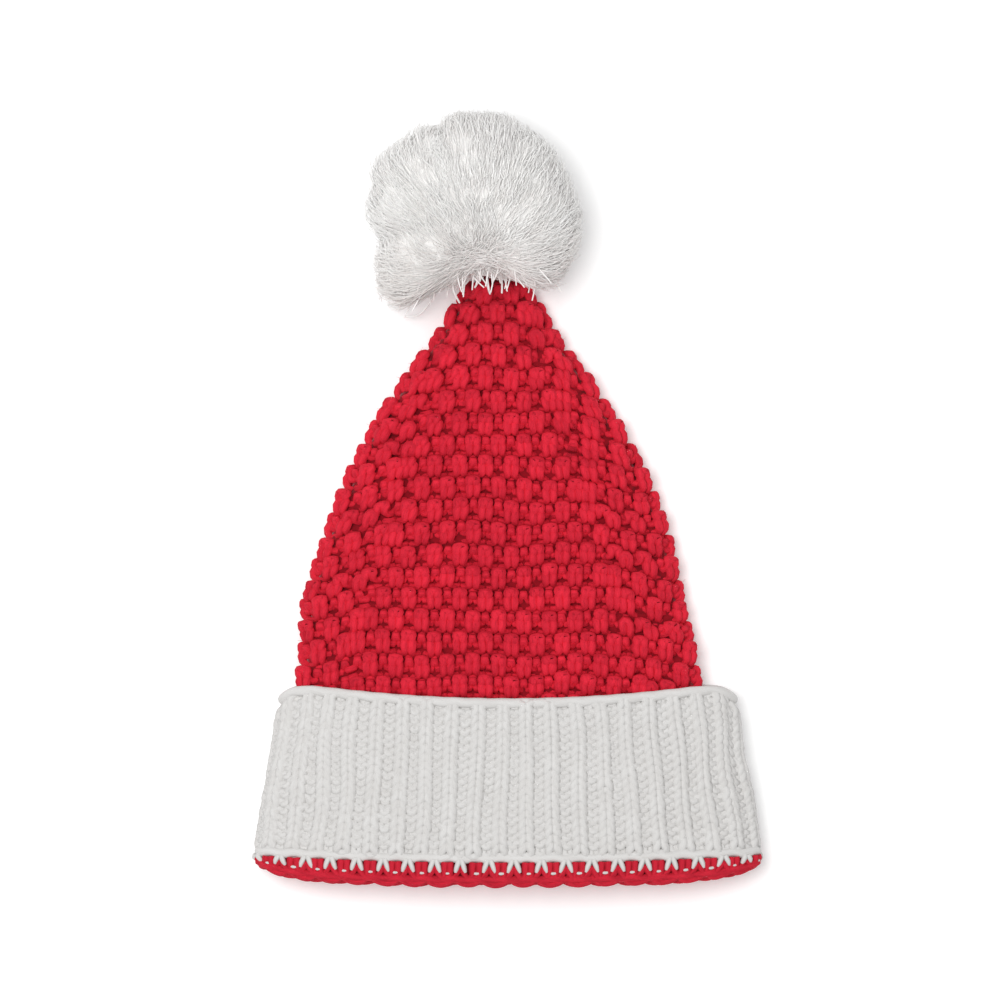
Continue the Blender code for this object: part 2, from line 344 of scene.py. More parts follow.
class YarnSweep:
    """A Geometry Nodes tree that sweeps a round yarn along the edges of a mesh."""

    def __init__(self) -> None:
        """Builds the tree, with its sizes and its material as named inputs."""
        self.tree = bpy.data.node_groups.new("yarn sweep", "GeometryNodeTree")
        face = self.tree.interface
        face.new_socket("Geometry", in_out="INPUT", socket_type="NodeSocketGeometry")
        self.inputs = {
            "Radius": face.new_socket("Radius", in_out="INPUT", socket_type="NodeSocketFloat"),
            "Sides": face.new_socket("Sides", in_out="INPUT", socket_type="NodeSocketInt"),
            "Finish": face.new_socket("Finish", in_out="INPUT", socket_type="NodeSocketMaterial"),
        }
        face.new_socket("Geometry", in_out="OUTPUT", socket_type="NodeSocketGeometry")
        given, result = self._node("NodeGroupInput"), self._node("NodeGroupOutput")
        lines = self._node("GeometryNodeMeshToCurve")
        profile = self._node("GeometryNodeCurvePrimitiveCircle")
        keep = self._node("GeometryNodeStoreNamedAttribute", data_type="FLOAT_VECTOR")
        place = self._node("GeometryNodeInputPosition")
        thick = self._node("GeometryNodeInputNamedAttribute", data_type="FLOAT")
        size = self._node("ShaderNodeMath", operation="MULTIPLY")
        sweep = self._node("GeometryNodeCurveToMesh")
        smooth = self._node("GeometryNodeSetShadeSmooth")
        real = self._node("GeometryNodeRealizeInstances")
        dress = self._node("GeometryNodeSetMaterial")
        profile.inputs["Radius"].default_value = 1.0
        keep.inputs["Name"].default_value = "ring"
        thick.inputs["Name"].default_value = "thick"
        sweep.inputs["Fill Caps"].default_value = True
        for source, target in (
            (given.outputs["Geometry"], lines.inputs["Mesh"]),
            (given.outputs["Sides"], profile.inputs["Resolution"]),
            (profile.outputs["Curve"], keep.inputs["Geometry"]),
            (place.outputs["Position"], keep.inputs["Value"]),
            (thick.outputs["Attribute"], size.inputs[0]),
            (given.outputs["Radius"], size.inputs[1]),
            (lines.outputs["Curve"], sweep.inputs["Curve"]),
            (keep.outputs["Geometry"], sweep.inputs["Profile Curve"]),
            (size.outputs["Value"], sweep.inputs["Scale"]),
            (sweep.outputs["Mesh"], smooth.inputs["Geometry"]),
            (smooth.outputs["Geometry"], real.inputs["Geometry"]),
            (real.outputs["Geometry"], dress.inputs["Geometry"]),
            (given.outputs["Finish"], dress.inputs["Material"]),
            (dress.outputs["Geometry"], result.inputs["Geometry"]),
        ):
            self.tree.links.new(source, target)

    def _node(self, kind: str, **settings: str) -> bpy.types.Node:
        """Adds one node.

        Args:
            kind: Its type.
            **settings: Its options, by name.

        Returns:
            The node.
        """
        node = self.tree.nodes.new(kind)
        for name, value in settings.items():
            setattr(node, name, value)
        return node

    def sweep_each(
        self, skeins: dict[str, Skein], radius: float, sides: int, finish: Material
    ) -> list[Object]:
        """Sweeps some skeins of one yarn, to a piece each."""
        return [self.sweep(name, skein, radius, sides, finish) for name, skein in skeins.items()]

    def sweep(self, name: str, skein: Skein, radius: float, sides: int, finish: Material) -> Object:
        """Sweeps a skein to one plain mesh.

        Args:
            name: Name of the new piece.
            skein: The yarn's centre lines.
            radius: Radius of the yarn.
            sides: Number of its sides.
            finish: Its material.

        Returns:
            The new piece, without a modifier.
        """
        piece = placed(name, skein.mesh(name))
        modifier = piece.modifiers.new("sweep", "NODES")
        modifier.node_group = self.tree
        for label, value in (("Radius", radius), ("Sides", sides), ("Finish", finish)):
            modifier[self.inputs[label].identifier] = value
        graph = bpy.context.evaluated_depsgraph_get()
        swept = bpy.data.meshes.new_from_object(
            piece.evaluated_get(graph), preserve_all_data_layers=True, depsgraph=graph
        )
        piece.modifiers.remove(modifier)
        piece.data = swept
        swept.name = name
        return piece


def grid_piece(name: str, loops: list[Array], ring: bool, finish: Material) -> Object:
    """Closed mesh through loops of the same count.

    Args:
        name: Name of the new piece.
        loops: The loops, each an array of points.
        ring: Whether the last loop joins the first. Otherwise a point closes each end.
        finish: Its material.

    Returns:
        The new piece, with its faces pointing outwards.
    """
    count, rows = len(loops[0]), len(loops)
    points = np.concatenate(loops)
    faces = []
    for a in range(rows if ring else rows - 1):
        b = (a + 1) % rows
        for i in range(count):
            j = (i + 1) % count
            faces.append((a * count + i, a * count + j, b * count + j, b * count + i))
    if not ring:
        for row in (0, rows - 1):
            tip = len(points)
            points = np.vstack([points, loops[row].mean(axis=0)])
            for i in range(count):
                faces.append((row * count + i, row * count + (i + 1) % count, tip))
    mesh = bpy.data.meshes.new(name)
    mesh.from_pydata(points.tolist(), [], faces)
    mesh.update()
    shape = bmesh.new()
    shape.from_mesh(mesh)
    bmesh.ops.recalc_face_normals(shape, faces=shape.faces)
    shape.to_mesh(mesh)
    shape.free()
    mesh.shade_smooth()
    mesh.materials.append(finish)
    return placed(name, mesh)


class Graph:
    """The shader nodes of one material, added and joined in short calls."""

    def __init__(self, name: str) -> None:
        """Starts a material with one Principled shader.

        Args:
            name: Name of the material.
        """
        self.material = bpy.data.materials.new(name)
        self.material.use_nodes = True
        self.tree = self.material.node_tree
        self.shader = self.tree.nodes["Principled BSDF"]

    def feed(self, socket: Socket, value: object) -> None:
        """Gives a socket its value.

        Args:
            socket: The socket.
            value: An output that is joined to it, or a plain value that is set on it.
        """
        if isinstance(value, Socket):
            self.tree.links.new(value, socket)
        else:
            socket.default_value = value

    def dress(self, values: dict[str, object]) -> None:
        """Feeds the shader's own sockets, by name."""
        for name, value in values.items():
            self.feed(self.shader.inputs[name], value)

    def math(self, operation: str, a: object, b: object = 0.0) -> Socket:
        """Works out one sum.

        Args:
            operation: The Math node's operation.
            a: Its first value.
            b: Its second value, which some operations leave unread.

        Returns:
            The result.
        """
        node = self.tree.nodes.new("ShaderNodeMath")
        node.operation = operation
        self.feed(node.inputs[0], a)
        self.feed(node.inputs[1], b)
        return node.outputs[0]

    def attribute(self, name: str, output: str) -> Socket:
        """An attribute of the mesh, as the named output."""
        node = self.tree.nodes.new("ShaderNodeAttribute")
        node.attribute_name = name
        return node.outputs[output]

    def place(self) -> Socket:
        """The Object coordinates."""
        return self.tree.nodes.new("ShaderNodeTexCoord").outputs["Object"]

    def split(self, vector: Socket) -> list[Socket]:
        """The three values of a vector."""
        node = self.tree.nodes.new("ShaderNodeSeparateXYZ")
        self.feed(node.inputs[0], vector)
        return list(node.outputs)

    def join(self, x: object, y: object, z: object) -> Socket:
        """A vector of three values."""
        node = self.tree.nodes.new("ShaderNodeCombineXYZ")
        for socket, value in zip(node.inputs, (x, y, z)):
            self.feed(socket, value)
        return node.outputs[0]

    def turned(self, vector: Socket, angle: Socket) -> Socket:
        """A vector turned about Z by an angle."""
        node = self.tree.nodes.new("ShaderNodeVectorRotate")
        node.rotation_type = "Z_AXIS"
        self.feed(node.inputs["Vector"], vector)
        self.feed(node.inputs["Angle"], angle)
        return node.outputs[0]

    def times(self, a: object, b: object) -> Socket:
        """The product of two values."""
        return self.math("MULTIPLY", a, b)

    def arches(self, angle: Socket) -> Socket:
        """Arches from 0 to 1 and back, one for each half turn of an angle."""
        return self.math("ABSOLUTE", self.math("SINE", angle))

    def noise(self, vector: Socket, scale: float, detail: float) -> Socket:
        """Reads a noise.

        Args:
            vector: Where it is read.
            scale: Number of lumps to a unit, about.
            detail: Number of finer layers.

        Returns:
            A value from 0 to 1.
        """
        node = self.tree.nodes.new("ShaderNodeTexNoise")
        self.feed(node.inputs["Vector"], vector)
        node.inputs["Scale"].default_value = scale
        node.inputs["Detail"].default_value = detail
        return node.outputs["Fac"]

    def blend(self, share: Socket, a: Triple, b: Triple) -> Socket:
        """Mixes two colours.

        Args:
            share: Share of the second one, which is kept from 0 to 1.
            a: The first colour.
            b: The second colour.

        Returns:
            The mixed colour.
        """
        node = self.tree.nodes.new("ShaderNodeMix")
        node.data_type = "RGBA"
        node.clamp_factor = True
        self.feed(node.inputs["Factor"], share)
        for label, colour in (("A", a), ("B", b)):
            socket = next(s for s in node.inputs if s.name == label and s.type == "RGBA")
            socket.default_value = (*colour, 1.0)
        return next(s for s in node.outputs if s.type == "RGBA")

    def bump(self, height: Socket, distance: float, strength: float) -> None:
        """Raises the shader's surface.

        Args:
            height: A height from 0 to 1.
            distance: What a height of 1 stands for.
            strength: Share of the relief that shows.
        """
        node = self.tree.nodes.new("ShaderNodeBump")
        node.inputs["Distance"].default_value = distance
        node.inputs["Strength"].default_value = strength
        self.feed(node.inputs["Height"], height)
        self.feed(self.shader.inputs["Normal"], node.outputs[0])

    def total(self, *weighted: tuple[float, Socket]) -> Socket:
        """Adds up some values.

        Args:
            *weighted: The weight and the value of each.

        Returns:
            The sum.
        """
        result: object = 0.0
        for weight, value in weighted:
            result = self.math("ADD", result, self.times(value, weight))
        return result


@dataclass(frozen=True)
class YarnFinish:
    """A matt spun yarn, with the lie of its plies, painted shade in the grooves between them and the
    fuzz of its fibres.

    It reads the sweep's attributes: ring, the place round the yarn, along, the length
    along it, and tone, a lightness of its own for each stitch.
    """

    name: str
    bright: Triple
    # colour that the blend falls to: the yarn's darker fibres, and painted shade
    dark_and_shade: Triple
    plies: int = 3
    twist: float = 0.017  # length of one full turn of the plies
    relief: float = 0.0007
    sheen: float = 0.25
    fibre_size: float = 0.0022  # length of a lock of fibres
    grain_size: float = 0.0006
    cloud_size: float = 0.035

    def material(self) -> Material:
        """The yarn's material."""
        graph = Graph(self.name)
        ring, along = graph.attribute("ring", "Vector"), graph.attribute("along", "Fac")
        tone, place = graph.attribute("tone", "Fac"), graph.place()
        x, y, _ = graph.split(ring)
        turns = graph.times(along, 2 * pi / self.twist)
        angle = graph.math("ARCTAN2", y, x)
        phase = graph.math("SUBTRACT", graph.times(angle, float(self.plies)), turns)
        ply_and_groove_shade = graph.math("ABSOLUTE", graph.math("COSINE", graph.times(phase, 0.5)))
        u, v, _ = graph.split(graph.turned(ring, graph.times(turns, -1.0 / self.plies)))
        lock = graph.join(u, v, graph.times(along, 0.25 / self.fibre_size))
        fibre = graph.noise(lock, 4.5, 3.0)
        grain = graph.noise(place, 1 / self.grain_size, 2.0)
        cloud = graph.noise(place, 1 / self.cloud_size, 2.0)
        # painted shade: the ply term darkens the grooves between the plies; fibre, grain, tone and
        # cloud are the yarn's own uneven colour
        share = graph.total((0.25, ply_and_groove_shade), (0.95, fibre), (0.45, grain), (0.3, tone), (0.3, cloud))
        share = graph.math("SUBTRACT", share, 0.55)
        graph.dress({
            "Base Color": graph.blend(share, self.dark_and_shade, self.bright),
            "Roughness": graph.math("ADD", 0.72, graph.times(fibre, 0.25)),
            "Specular IOR Level": 0.18,
            "Sheen Weight": self.sheen,
            "Sheen Roughness": 0.55,
            "Sheen Tint": (*self.bright, 1.0),
        })
        graph.bump(graph.total((0.25, ply_and_groove_shade), (0.6, fibre), (0.4, grain)), self.relief, 0.8)
        return graph.material


@dataclass(frozen=True)
class FeltedFinish:
    """The dense inner face of knitting, which shows between the stitches and inside, with painted shade
    between its bars.
    """

    name: str
    bright: Triple
    dark_and_shade: Triple
    stitch_width: float
    course_height: float
    fuzz_scale: float = 900.0  # lumps of fuzz to a metre
    cloud_scale: float = 40.0
    relief: float = 0.0012

    def material(self) -> Material:
        """The inner face's material."""
        graph = Graph(self.name)
        place = graph.place()
        x, y, _ = graph.split(place)
        across = graph.arches(graph.times(x, pi / self.stitch_width))
        lift = graph.times(across, 0.9)
        bar = graph.arches(graph.math("ADD", graph.times(y, pi / self.course_height), lift))
        fuzz = graph.noise(place, self.fuzz_scale, 3.0)
        cloud = graph.noise(place, self.cloud_scale, 2.0)
        # painted shade: darker between the bars and between the columns; fuzz and cloud are the yarn's
        # own uneven colour
        share = graph.total((0.35, bar), (0.2, across), (0.3, fuzz), (0.25, cloud))
        graph.dress({
            "Base Color": graph.blend(share, self.dark_and_shade, self.bright),
            "Roughness": 0.9,
            "Specular IOR Level": 0.12,
            "Sheen Weight": 0.2,
        })
        graph.bump(graph.total((0.6, bar), (0.2, across), (0.3, fuzz)), self.relief, 0.8)
        return graph.material


@dataclass(frozen=True)
class FibreFinish:
    """Cut and frayed yarn: fine fibres that are darker and warmer where their tone is low, as painted
    shade with painted red bounce light.
    """

    name: str
    bright: Triple
    dark_and_shade: Triple
    cloud_size: float = 0.02
    grain_scale: float = 2500.0  # grains to a metre
    relief: float = 0.0001

    def material(self) -> Material:
        """The fibres' material."""
        graph = Graph(self.name)
        tone, place = graph.attribute("tone", "Fac"), graph.place()
        cloud = graph.noise(place, 1 / self.cloud_size, 3.0)
        grain = graph.noise(place, self.grain_scale, 1.0)
        share = graph.total((0.95, tone), (0.3, cloud), (0.2, grain))
        share = graph.math("SUBTRACT", share, 0.2)
        graph.dress({
            "Base Color": graph.blend(share, self.dark_and_shade, self.bright),
            "Roughness": graph.math("ADD", 0.65, graph.times(grain, 0.3)),
            "Specular IOR Level": 0.2,
            "Sheen Weight": 0.3,
            "Sheen Roughness": 0.5,
        })
        graph.bump(grain, self.relief, 0.4)
        return graph.material


@dataclass(frozen=True)
class Shape:
    """The hat's sizes, which set every section. They repeat those of the solids."""

    floor_y: float  # the hem's lowest point
    hem_half: float
    cuff_wall: float = 0.006
    crown_wall: float = 0.0065
    hollow: float = 0.012
    slack: float = 0.006
    cuff_height: float = 0.0914
    corner_rise: float = 0.0085
    corner_drop: float = 0.011
    hem_flare: float = 0.0115
    hem_height: float = 0.0125
    hem_bow: float = 0.003
    hem_corner: float = 0.6
    crown_shift: float = -0.65
    base_width: float = 0.197
    crown_length: float = 0.210
    # along, centre, half_width, lift and depth of the crown above the cuff
    sections: Table = (
        (0.00, 0.000, 1.000, 1.00, 1.00),
        (0.06, -0.003, 0.985, 0.70, 1.02),
        (0.14, -0.008, 0.962, 0.22, 1.06),
        (0.22, -0.012, 0.932, 0.00, 1.08),
        (0.35, -0.008, 0.866, 0.00, 1.07),
        (0.48, -0.005, 0.758, 0.00, 1.04),
        (0.61, -0.010, 0.622, 0.00, 1.00),
        (0.74, -0.008, 0.440, 0.00, 0.93),
        (0.86, -0.008, 0.258, 0.00, 0.82),
        (0.93, -0.006, 0.168, 0.00, 0.72),
        (0.98, -0.004, 0.100, 0.02, 0.58),
        (1.00, -0.004, 0.055, 0.10, 0.40),
    )

    @property
    def depth(self) -> float:
        """The crown's depth inside the cuff."""
        return 2 * self.crown_wall + self.hollow

    @property
    def lift(self) -> float:
        """The height that the cuff's back raises the crown by."""
        return self.cuff_wall + GAP

    @property
    def top_half(self) -> float:
        """Half the cuff's width at its upper edge."""
        return self.hem_half - self.hem_flare

    @property
    def cuff_span(self) -> float:
        """The cuff's height above the hem edging."""
        return self.cuff_height - self.hem_height

    def hem_lower(self, x: Array) -> Array:
        """Height of the hem's lower edge."""
        a = np.minimum(np.abs(x) / self.hem_half, 1)
        return self.hem_bow * a**2 + self.hem_corner * self.hem_height * a**8

    def hem_upper(self, x: Array) -> Array:
        """Height of the line where the cuff meets the hem edging."""
        return self.hem_height + self.hem_bow * np.minimum(np.abs(x) / self.hem_half, 1) ** 2

    def cuff_upper(self, x: Array) -> Array:
        """Height of the cuff's free upper edge."""
        a = np.minimum(np.abs(x) / self.top_half, 1)
        return self.cuff_height + self.corner_rise * a**2 - self.corner_drop * a**20

    def crown_in_cuff(self, height: float) -> FlatTube:
        """Section of the crown at a share of the cuff's height."""
        inside = between(self.hem_half, self.top_half, height) - self.cuff_wall - GAP
        middle, half = self.crown_shift * self.slack * height, inside - self.slack * height
        return FlatTube(middle, half, self.lift, self.lift + self.depth)

    def crown_above(self, along: float) -> FlatTube:
        """Section of the crown above the cuff.

        Args:
            along: Share of its length.

        Returns:
            The section's outside.
        """
        centre, half, lift, depth = (
            float(smooth_read(self.sections, column, along)) for column in (1, 2, 3, 4)
        )
        middle = self.crown_shift * self.slack + centre * self.base_width
        low = self.lift * lift
        return FlatTube(middle, half * (self.base_width / 2 - GAP), low, low + depth * self.depth)

    def cuff_tube(self, height: float) -> FlatTube:
        """Section of the cuff's outside at a share of its height."""
        half = between(self.hem_half, self.top_half, height)
        return FlatTube(0.0, half, 0.0, self.lift + self.depth + GAP + self.cuff_wall)

    def crown_loop(self, v: float, inset: float, count: int) -> Array:
        """Points once round the crown.

        Args:
            v: Distance above the cuff's upper edge, or, below 0, inside the cuff.
            inset: How far they lie inside the section's outside.
            count: Number of points.

        Returns:
            An array of points.
        """
        if v < 0:
            height = max(1 + v / self.cuff_span, 0.0)
            flat = self.crown_in_cuff(height).shrunk(inset).around(count)
            y = between(self.hem_upper(flat[:, 0]) + GAP, self.cuff_height, height)
        else:
            flat = self.crown_above(v / self.crown_length).shrunk(inset).around(count)
            y = np.full(count, self.cuff_height + v)
        return np.stack([flat[:, 0], y + self.floor_y, flat[:, 1]], axis=1)

    def cuff_loop(self, height: float, inset: float, count: int) -> Array:
        """Points once round the cuff.

        Args:
            height: Share of its height.
            inset: How far they lie inside its outside.
            count: Number of points.

        Returns:
            An array of points.
        """
        flat = self.cuff_tube(height).shrunk(inset).around(count)
        x = flat[:, 0]
        y = between(self.hem_upper(x) + GAP, self.cuff_upper(x), height)
        return np.stack([x, y + self.floor_y, flat[:, 1]], axis=1)

    def hem_loop(self, inset: float, height: float, shrink: float, count: int) -> Array:
        """Points once round the hem edging.

        Args:
            inset: Share of the way from the cuff's outside to the crown's inside.
            height: Share of the way from its lower edge to its upper one.
            shrink: How far they lie under its surface.
            count: Number of points.

        Returns:
            An array of points.
        """
        outer = self.cuff_tube(0.0)
        inner = self.crown_in_cuff(0.0).shrunk(self.crown_wall)
        flat = FlatTube(
            0.0,
            between(outer.half - shrink, inner.half + shrink, inset),
            between(outer.low + shrink, inner.low - shrink, inset),
            between(outer.high - shrink, inner.high + shrink, inset),
        ).around(count)
        x = flat[:, 0]
        y = between(self.hem_lower(x) + shrink, self.hem_upper(x), height)
        return np.stack([x, y + self.floor_y, flat[:, 1]], axis=1)


@dataclass(frozen=True)
class LoopForm:
    """The course of the yarn through one stitch."""

    head: float  # from the stitch's middle to its head
    foot: float  # from the stitch's middle to its feet
    spread: float  # share of its width by which the head is wider than the feet
    depth: float  # how far the legs stand out before the head and the feet
    samples: int
    way: Way = Way.UP
    pinch: float = 0.0  # share of its width by which a knit stitch's legs stand nearer its middle

    @property
    def turns(self) -> Array:
        """Where each sample lies, from -pi at one foot over 0 at the head to pi at the other."""
        return -pi + 2 * pi * (np.arange(self.samples) + 0.5) / self.samples

    def eased(self, own: Array, mean: float) -> Array:
        """Spreads a value of each stitch over its samples.

        Args:
            own: The values.
            mean: What they ease to at the feet, where stitches meet.

        Returns:
            One value for each sample of each stitch.
        """
        ease = 1 - np.maximum(-np.cos(self.turns), 0) ** 2
        return (mean + (own - mean)[:, None] * ease).ravel()

    def path(self, width: Array, face: Array, above: Array) -> tuple[Array, ...]:
        """Offsets of the yarn from the middle of each stitch.

        Args:
            width: Width of each stitch of a course, in order round the tube.
            face: 1 for a knit stitch and -1 for a purl one.
            above: The same for the stitch that is worked into it.

        Returns:
            Offsets round, along and outwards, each stitches by samples.
        """
        t = self.turns
        width, face, above = width[:, None], face[:, None], above[:, None]
        pinched = self.pinch * (face > 0) * np.sin(t)
        around = width * (t / (2 * pi) + self.spread * np.sin(2 * t) - pinched)
        reach = np.where(np.cos(t) > 0, self.head, self.foot)
        along = self.way.value * reach * np.cos(t) * np.ones_like(width)
        head, foot, leg = np.maximum(np.cos(t), 0) ** 2, np.maximum(-np.cos(t), 0) ** 2, np.sin(t) ** 2
        beside = np.where(t < 0, np.roll(face, 1, axis=0), np.roll(face, -1, axis=0))
        out = self.depth * (face * leg - above * head - 0.5 * (face + beside) * foot)
        return around, along, out


@dataclass
class Course:
    """One course of stitches round the tube."""

    line: float  # its middle, along the fabric
    upper: bool  # whether it is the second course of its row
    turn: Array  # middle of each stitch, in turns
    width: Array
    face: Array
    dip: Array  # how far each stitch hangs below the line

    def above(self, following: "Course") -> Array:
        """The faces of the following course's stitches nearest to each of these."""
        away = np.abs((self.turn[:, None] - following.turn[None, :] + 0.5) % 1.0 - 0.5)
        return following.face[np.argmin(away, axis=1)]


@dataclass
class Crown:
    """The red tube, in staggered pairs of knit and purl stitches, narrowing to its tip."""

    shape: Shape
    yarn_radius: float = 0.0020
    depth: float = 0.00125
    swell: float = 0.0006  # by which the yarn stands out over the solids
    stitch_width: float = 0.0061
    barrel_share: float = 0.66  # of two stitches' width that the knit one takes
    tall: float = 0.78  # reach of a head or foot inside its row, in courses
    short: float = 0.12  # reach of a head where it meets the next row
    low: float = 0.45  # reach of a foot towards the row below
    pinch: float = 0.05  # share of a barrel's width that its legs stand nearer its middle
    rows: int = 20  # visible rows, of two courses each
    hidden_rows: int = 1  # inside the cuff
    row_relief: float = 0.0007
    row_peak: float = 0.60  # share of a row's height where it stands out most
    knit_relief: float = 0.0003
    purl_relief: float = -0.0032
    crest: float = 0.0022  # by which the head of a purl stitch stands out again
    crest_rise: float = 0.0011  # by which its head lies higher
    knit_size: float = 1.12  # of the yarn's radius
    purl_size: float = 0.74
    crest_size: float = 0.20  # by which its head is fatter
    hairs: int = 1  # loose fibres for each stitch
    hair_radius: float = 0.00009
    hair_length: float = 0.0024
    panel_centre: float = -0.0076
    panel_half: float = 0.0717  # half the front panel at the cuff
    panel_taper: float = 0.29  # by which it narrows for each unit of height
    side_dip: float = 0.20  # slope of the rows beyond the front panel
    spread: float = 0.13  # share of its width by which a stitch's head is wider than its feet
    stray_along: float = 0.00018  # how far the yarn strays from its course
    stray_out: float = 0.00015
    sway: Ripple = Ripple(0.0011, 0.06, 5)  # of the fabric, along it
    billow: Ripple = Ripple(0.0007, 0.035, 6)  # of the fabric, outwards
    rest: float = 1.25  # least height of the yarn's middle, in its radii
    split: float = 0.4  # share of the length where the upper piece starts
    end: float = 0.965  # share of the length where the stitches stop
    face_inset: float = 2.3  # of the wall behind the stitches, in the yarn's radii
    face_end: float = 0.995  # share of the length where that wall ends
    hollow_end: float = 0.88
    face_columns: int = 120
    samples: int = 12
    sides: int = 6
    columns: int = 480
    step: float = 0.001

    @property
    def row_height(self) -> float:
        """Height of one visible row."""
        return self.shape.crown_length / self.rows

    def surface(self) -> tuple[Surface, float]:
        """The middle of the fabric, and where its first row lies."""
        start = -(self.hidden_rows + 1) * self.row_height
        stations = np.arange(start, self.shape.crown_length - 0.5 * self.step, self.step)
        inset = self.depth + self.yarn_radius - self.swell
        loops = [self.shape.crown_loop(v, inset, self.columns) for v in stations]
        return Surface(np.stack(loops)), start

    def borders(self, ring: Array, half: float) -> tuple[float, ...]:
        """Where the front and back panels end, in turns.

        Args:
            ring: Points once round the crown.
            half: Half the panels' width.

        Returns:
            The borders at the upper right, upper left, lower left and lower right.
        """
        count = len(ring)
        left = int(np.argmin(ring[:, 0]))
        right_x, left_x = self.panel_centre + half, self.panel_centre - half
        upper = np.arange(0, left + 1)
        lower = np.arange(left, count)
        lower_x = ring[lower, 0]
        return (
            float(np.interp(-right_x, -ring[upper, 0], upper)) / count,
            float(np.interp(-left_x, -ring[upper, 0], upper)) / count,
            float(np.interp(left_x, lower_x, lower)) / count,
            float(np.interp(right_x, lower_x, lower)) / count,
        )

    def course(self, surface: Surface, start: float, index: int, chance: Chance) -> Course:
        """Lays out the stitches of one course in four panels.

        Args:
            surface: The fabric's middle.
            start: Where its first row lies.
            index: Number of the course, from the cuff's upper edge.
            chance: Source of the stitches' unevenness.

        Returns:
            The course.
        """
        row = index // 2
        line = (index + 0.5) * self.row_height / 2
        grid_row = (line - start) / self.step
        ring, girth = surface.ring(grid_row), surface.girth_at(grid_row)
        middle = (row + 0.5) * self.row_height
        tube = 0.5 * np.ptp(ring[:, 0])
        half = min(self.panel_half - self.panel_taper * max(middle, 0.0), 0.8 * tube)
        front = 2 * max(round(half / self.stitch_width), 1)
        ends = self.borders(ring, 0.5 * front * self.stitch_width)
        turn, width, face, dip = [], [], [], []
        for number, (a, b) in enumerate(zip(ends, (*ends[1:], ends[0] + 1.0))):
            span = (b - a) * girth
            side = number % 2 == 1
            count = 2 * max(round(0.5 * span / self.stitch_width), 1) if side else front
            k = np.arange(count)
            turn.append(a + (k + 0.5) / count * (b - a))
            sides = np.where((k - count // 2 + row) % 2 == 0, Face.KNIT.value, Face.PURL.value)
            face.append(sides.astype(float))
            width.append(span / count * (1 + (2 * self.barrel_share - 1) * sides))
            slope = self.side_dip * 0.5 * span if side else 0.0
            dip.append(slope * np.sin(pi * (k + 0.5) / count))
        turn = np.concatenate(turn)
        uneven = chance.normal(0, 0.02, len(turn)) * self.stitch_width / girth
        width, face, dip = (np.concatenate(part) for part in (width, face, dip))
        return Course(line, index % 2 == 1, turn + uneven, width, face, dip)

    def add_course(self, skein: Skein, fuzz: Skein, surface: Surface, start: float, course: Course,
                   above: Array, chance: Chance) -> None:
        """Adds one course's yarn to a skein.

        Args:
            skein: What it is added to.
            fuzz: What its loose fibres are added to.
            surface: The fabric's middle.
            start: Where its first row lies.
            course: The course.
            above: Faces of the stitches worked into it.
            chance: Source of the stitches' unevenness.
        """
        tall, short, low = (share * self.row_height / 2 for share in (self.tall, self.short, self.low))
        head, foot = (short, tall) if course.upper else (tall, low)
        form = LoopForm(head, foot, self.spread, self.depth, self.samples, pinch=self.pinch)
        around, along, out = form.path(course.width, course.face, above)
        count = len(course.turn)
        girth = surface.girth_at((course.line - start) / self.step)
        turn = (course.turn[:, None] + around / girth).ravel()
        # the dip is read between stitches, so that the course stays smooth
        order = np.argsort(course.turn % 1.0)
        places, dips = course.turn[order] % 1.0, course.dip[order]
        dip = np.interp(turn % 1.0, places, dips, period=1.0)
        uneven = chance.normal(0, 1, (3, count)).repeat(self.samples, axis=1)
        knit = course.face > 0
        crest = (np.where(knit, 0.0, 1.0)[:, None] * np.maximum(np.cos(form.turns), 0) ** 2).ravel()
        v = course.line + along.ravel() - dip + self.stray_along * uneven[0] + self.crest_rise * crest
        share = (course.line + along.ravel()) / self.row_height
        relief = self.row_relief * np.cos(2 * pi * (share - self.row_peak))
        barrel = form.eased(np.where(knit, self.knit_relief, self.purl_relief), 0.5 * self.purl_relief)
        w = out.ravel() + relief + barrel + self.crest * crest + self.stray_out * uneven[1]
        base = surface.place((v - start) / self.step, turn, np.zeros_like(v))
        v = v + self.sway.at(base[:, 0], base[:, 1])
        w = w + self.billow.at(base[:, 0] + base[:, 2], base[:, 1])
        line = surface.place((v - start) / self.step, turn, w)
        outer = surface.place((v - start) / self.step, turn, w + self.hair_length)
        press(line, self.rest * self.yarn_radius)
        size = form.eased(np.where(knit, self.knit_size, self.purl_size), 0.9) + self.crest_size * crest
        thick = size + 0.04 * uneven[2] + 0.04 * np.sin(np.arange(len(v)) * 0.37)
        tone = np.clip(0.5 + 0.28 * uneven[1] + 0.2 * uneven[2], 0, 1)
        skein.add(line, np.clip(thick, 0.7, 1.25), tone, closed=True)
        if course.line > 0:
            fuzz.add_hairs(line, outer, self.hairs * count, chance)

    def build(self, sweep: YarnSweep, finish: YarnFinish, inner: FeltedFinish) -> list[Object]:
        """Makes the stitches and the fabric's inner face.

        Args:
            sweep: The tree that sweeps the yarn.
            finish: The yarn's finish.
            inner: The inner face's finish, darkened as painted shade for the holes between the
                stitches.

        Returns:
            The crown's pieces.
        """
        surface, start = self.surface()
        chance = np.random.default_rng(11)
        last = int(2 * self.rows * self.end)
        numbers = range(-2 * self.hidden_rows, last + 1)
        courses = [self.course(surface, start, number, chance) for number in numbers]
        lower, upper, fuzz = Skein(), Skein(), Skein()
        for course, following in zip(courses, courses[1:]):
            skein = lower if course.line < self.split * self.shape.crown_length else upper
            self.add_course(skein, fuzz, surface, start, course, course.above(following), chance)
        yarn = finish.material()
        skeins = {"crown_stitches_lower": lower, "crown_stitches_upper": upper}
        pieces = sweep.sweep_each(skeins, self.yarn_radius, self.sides, yarn)
        pieces.append(sweep.sweep("crown_fuzz", fuzz, self.hair_radius, 3, yarn))
        pieces.append(self.inner_face(inner))
        return pieces

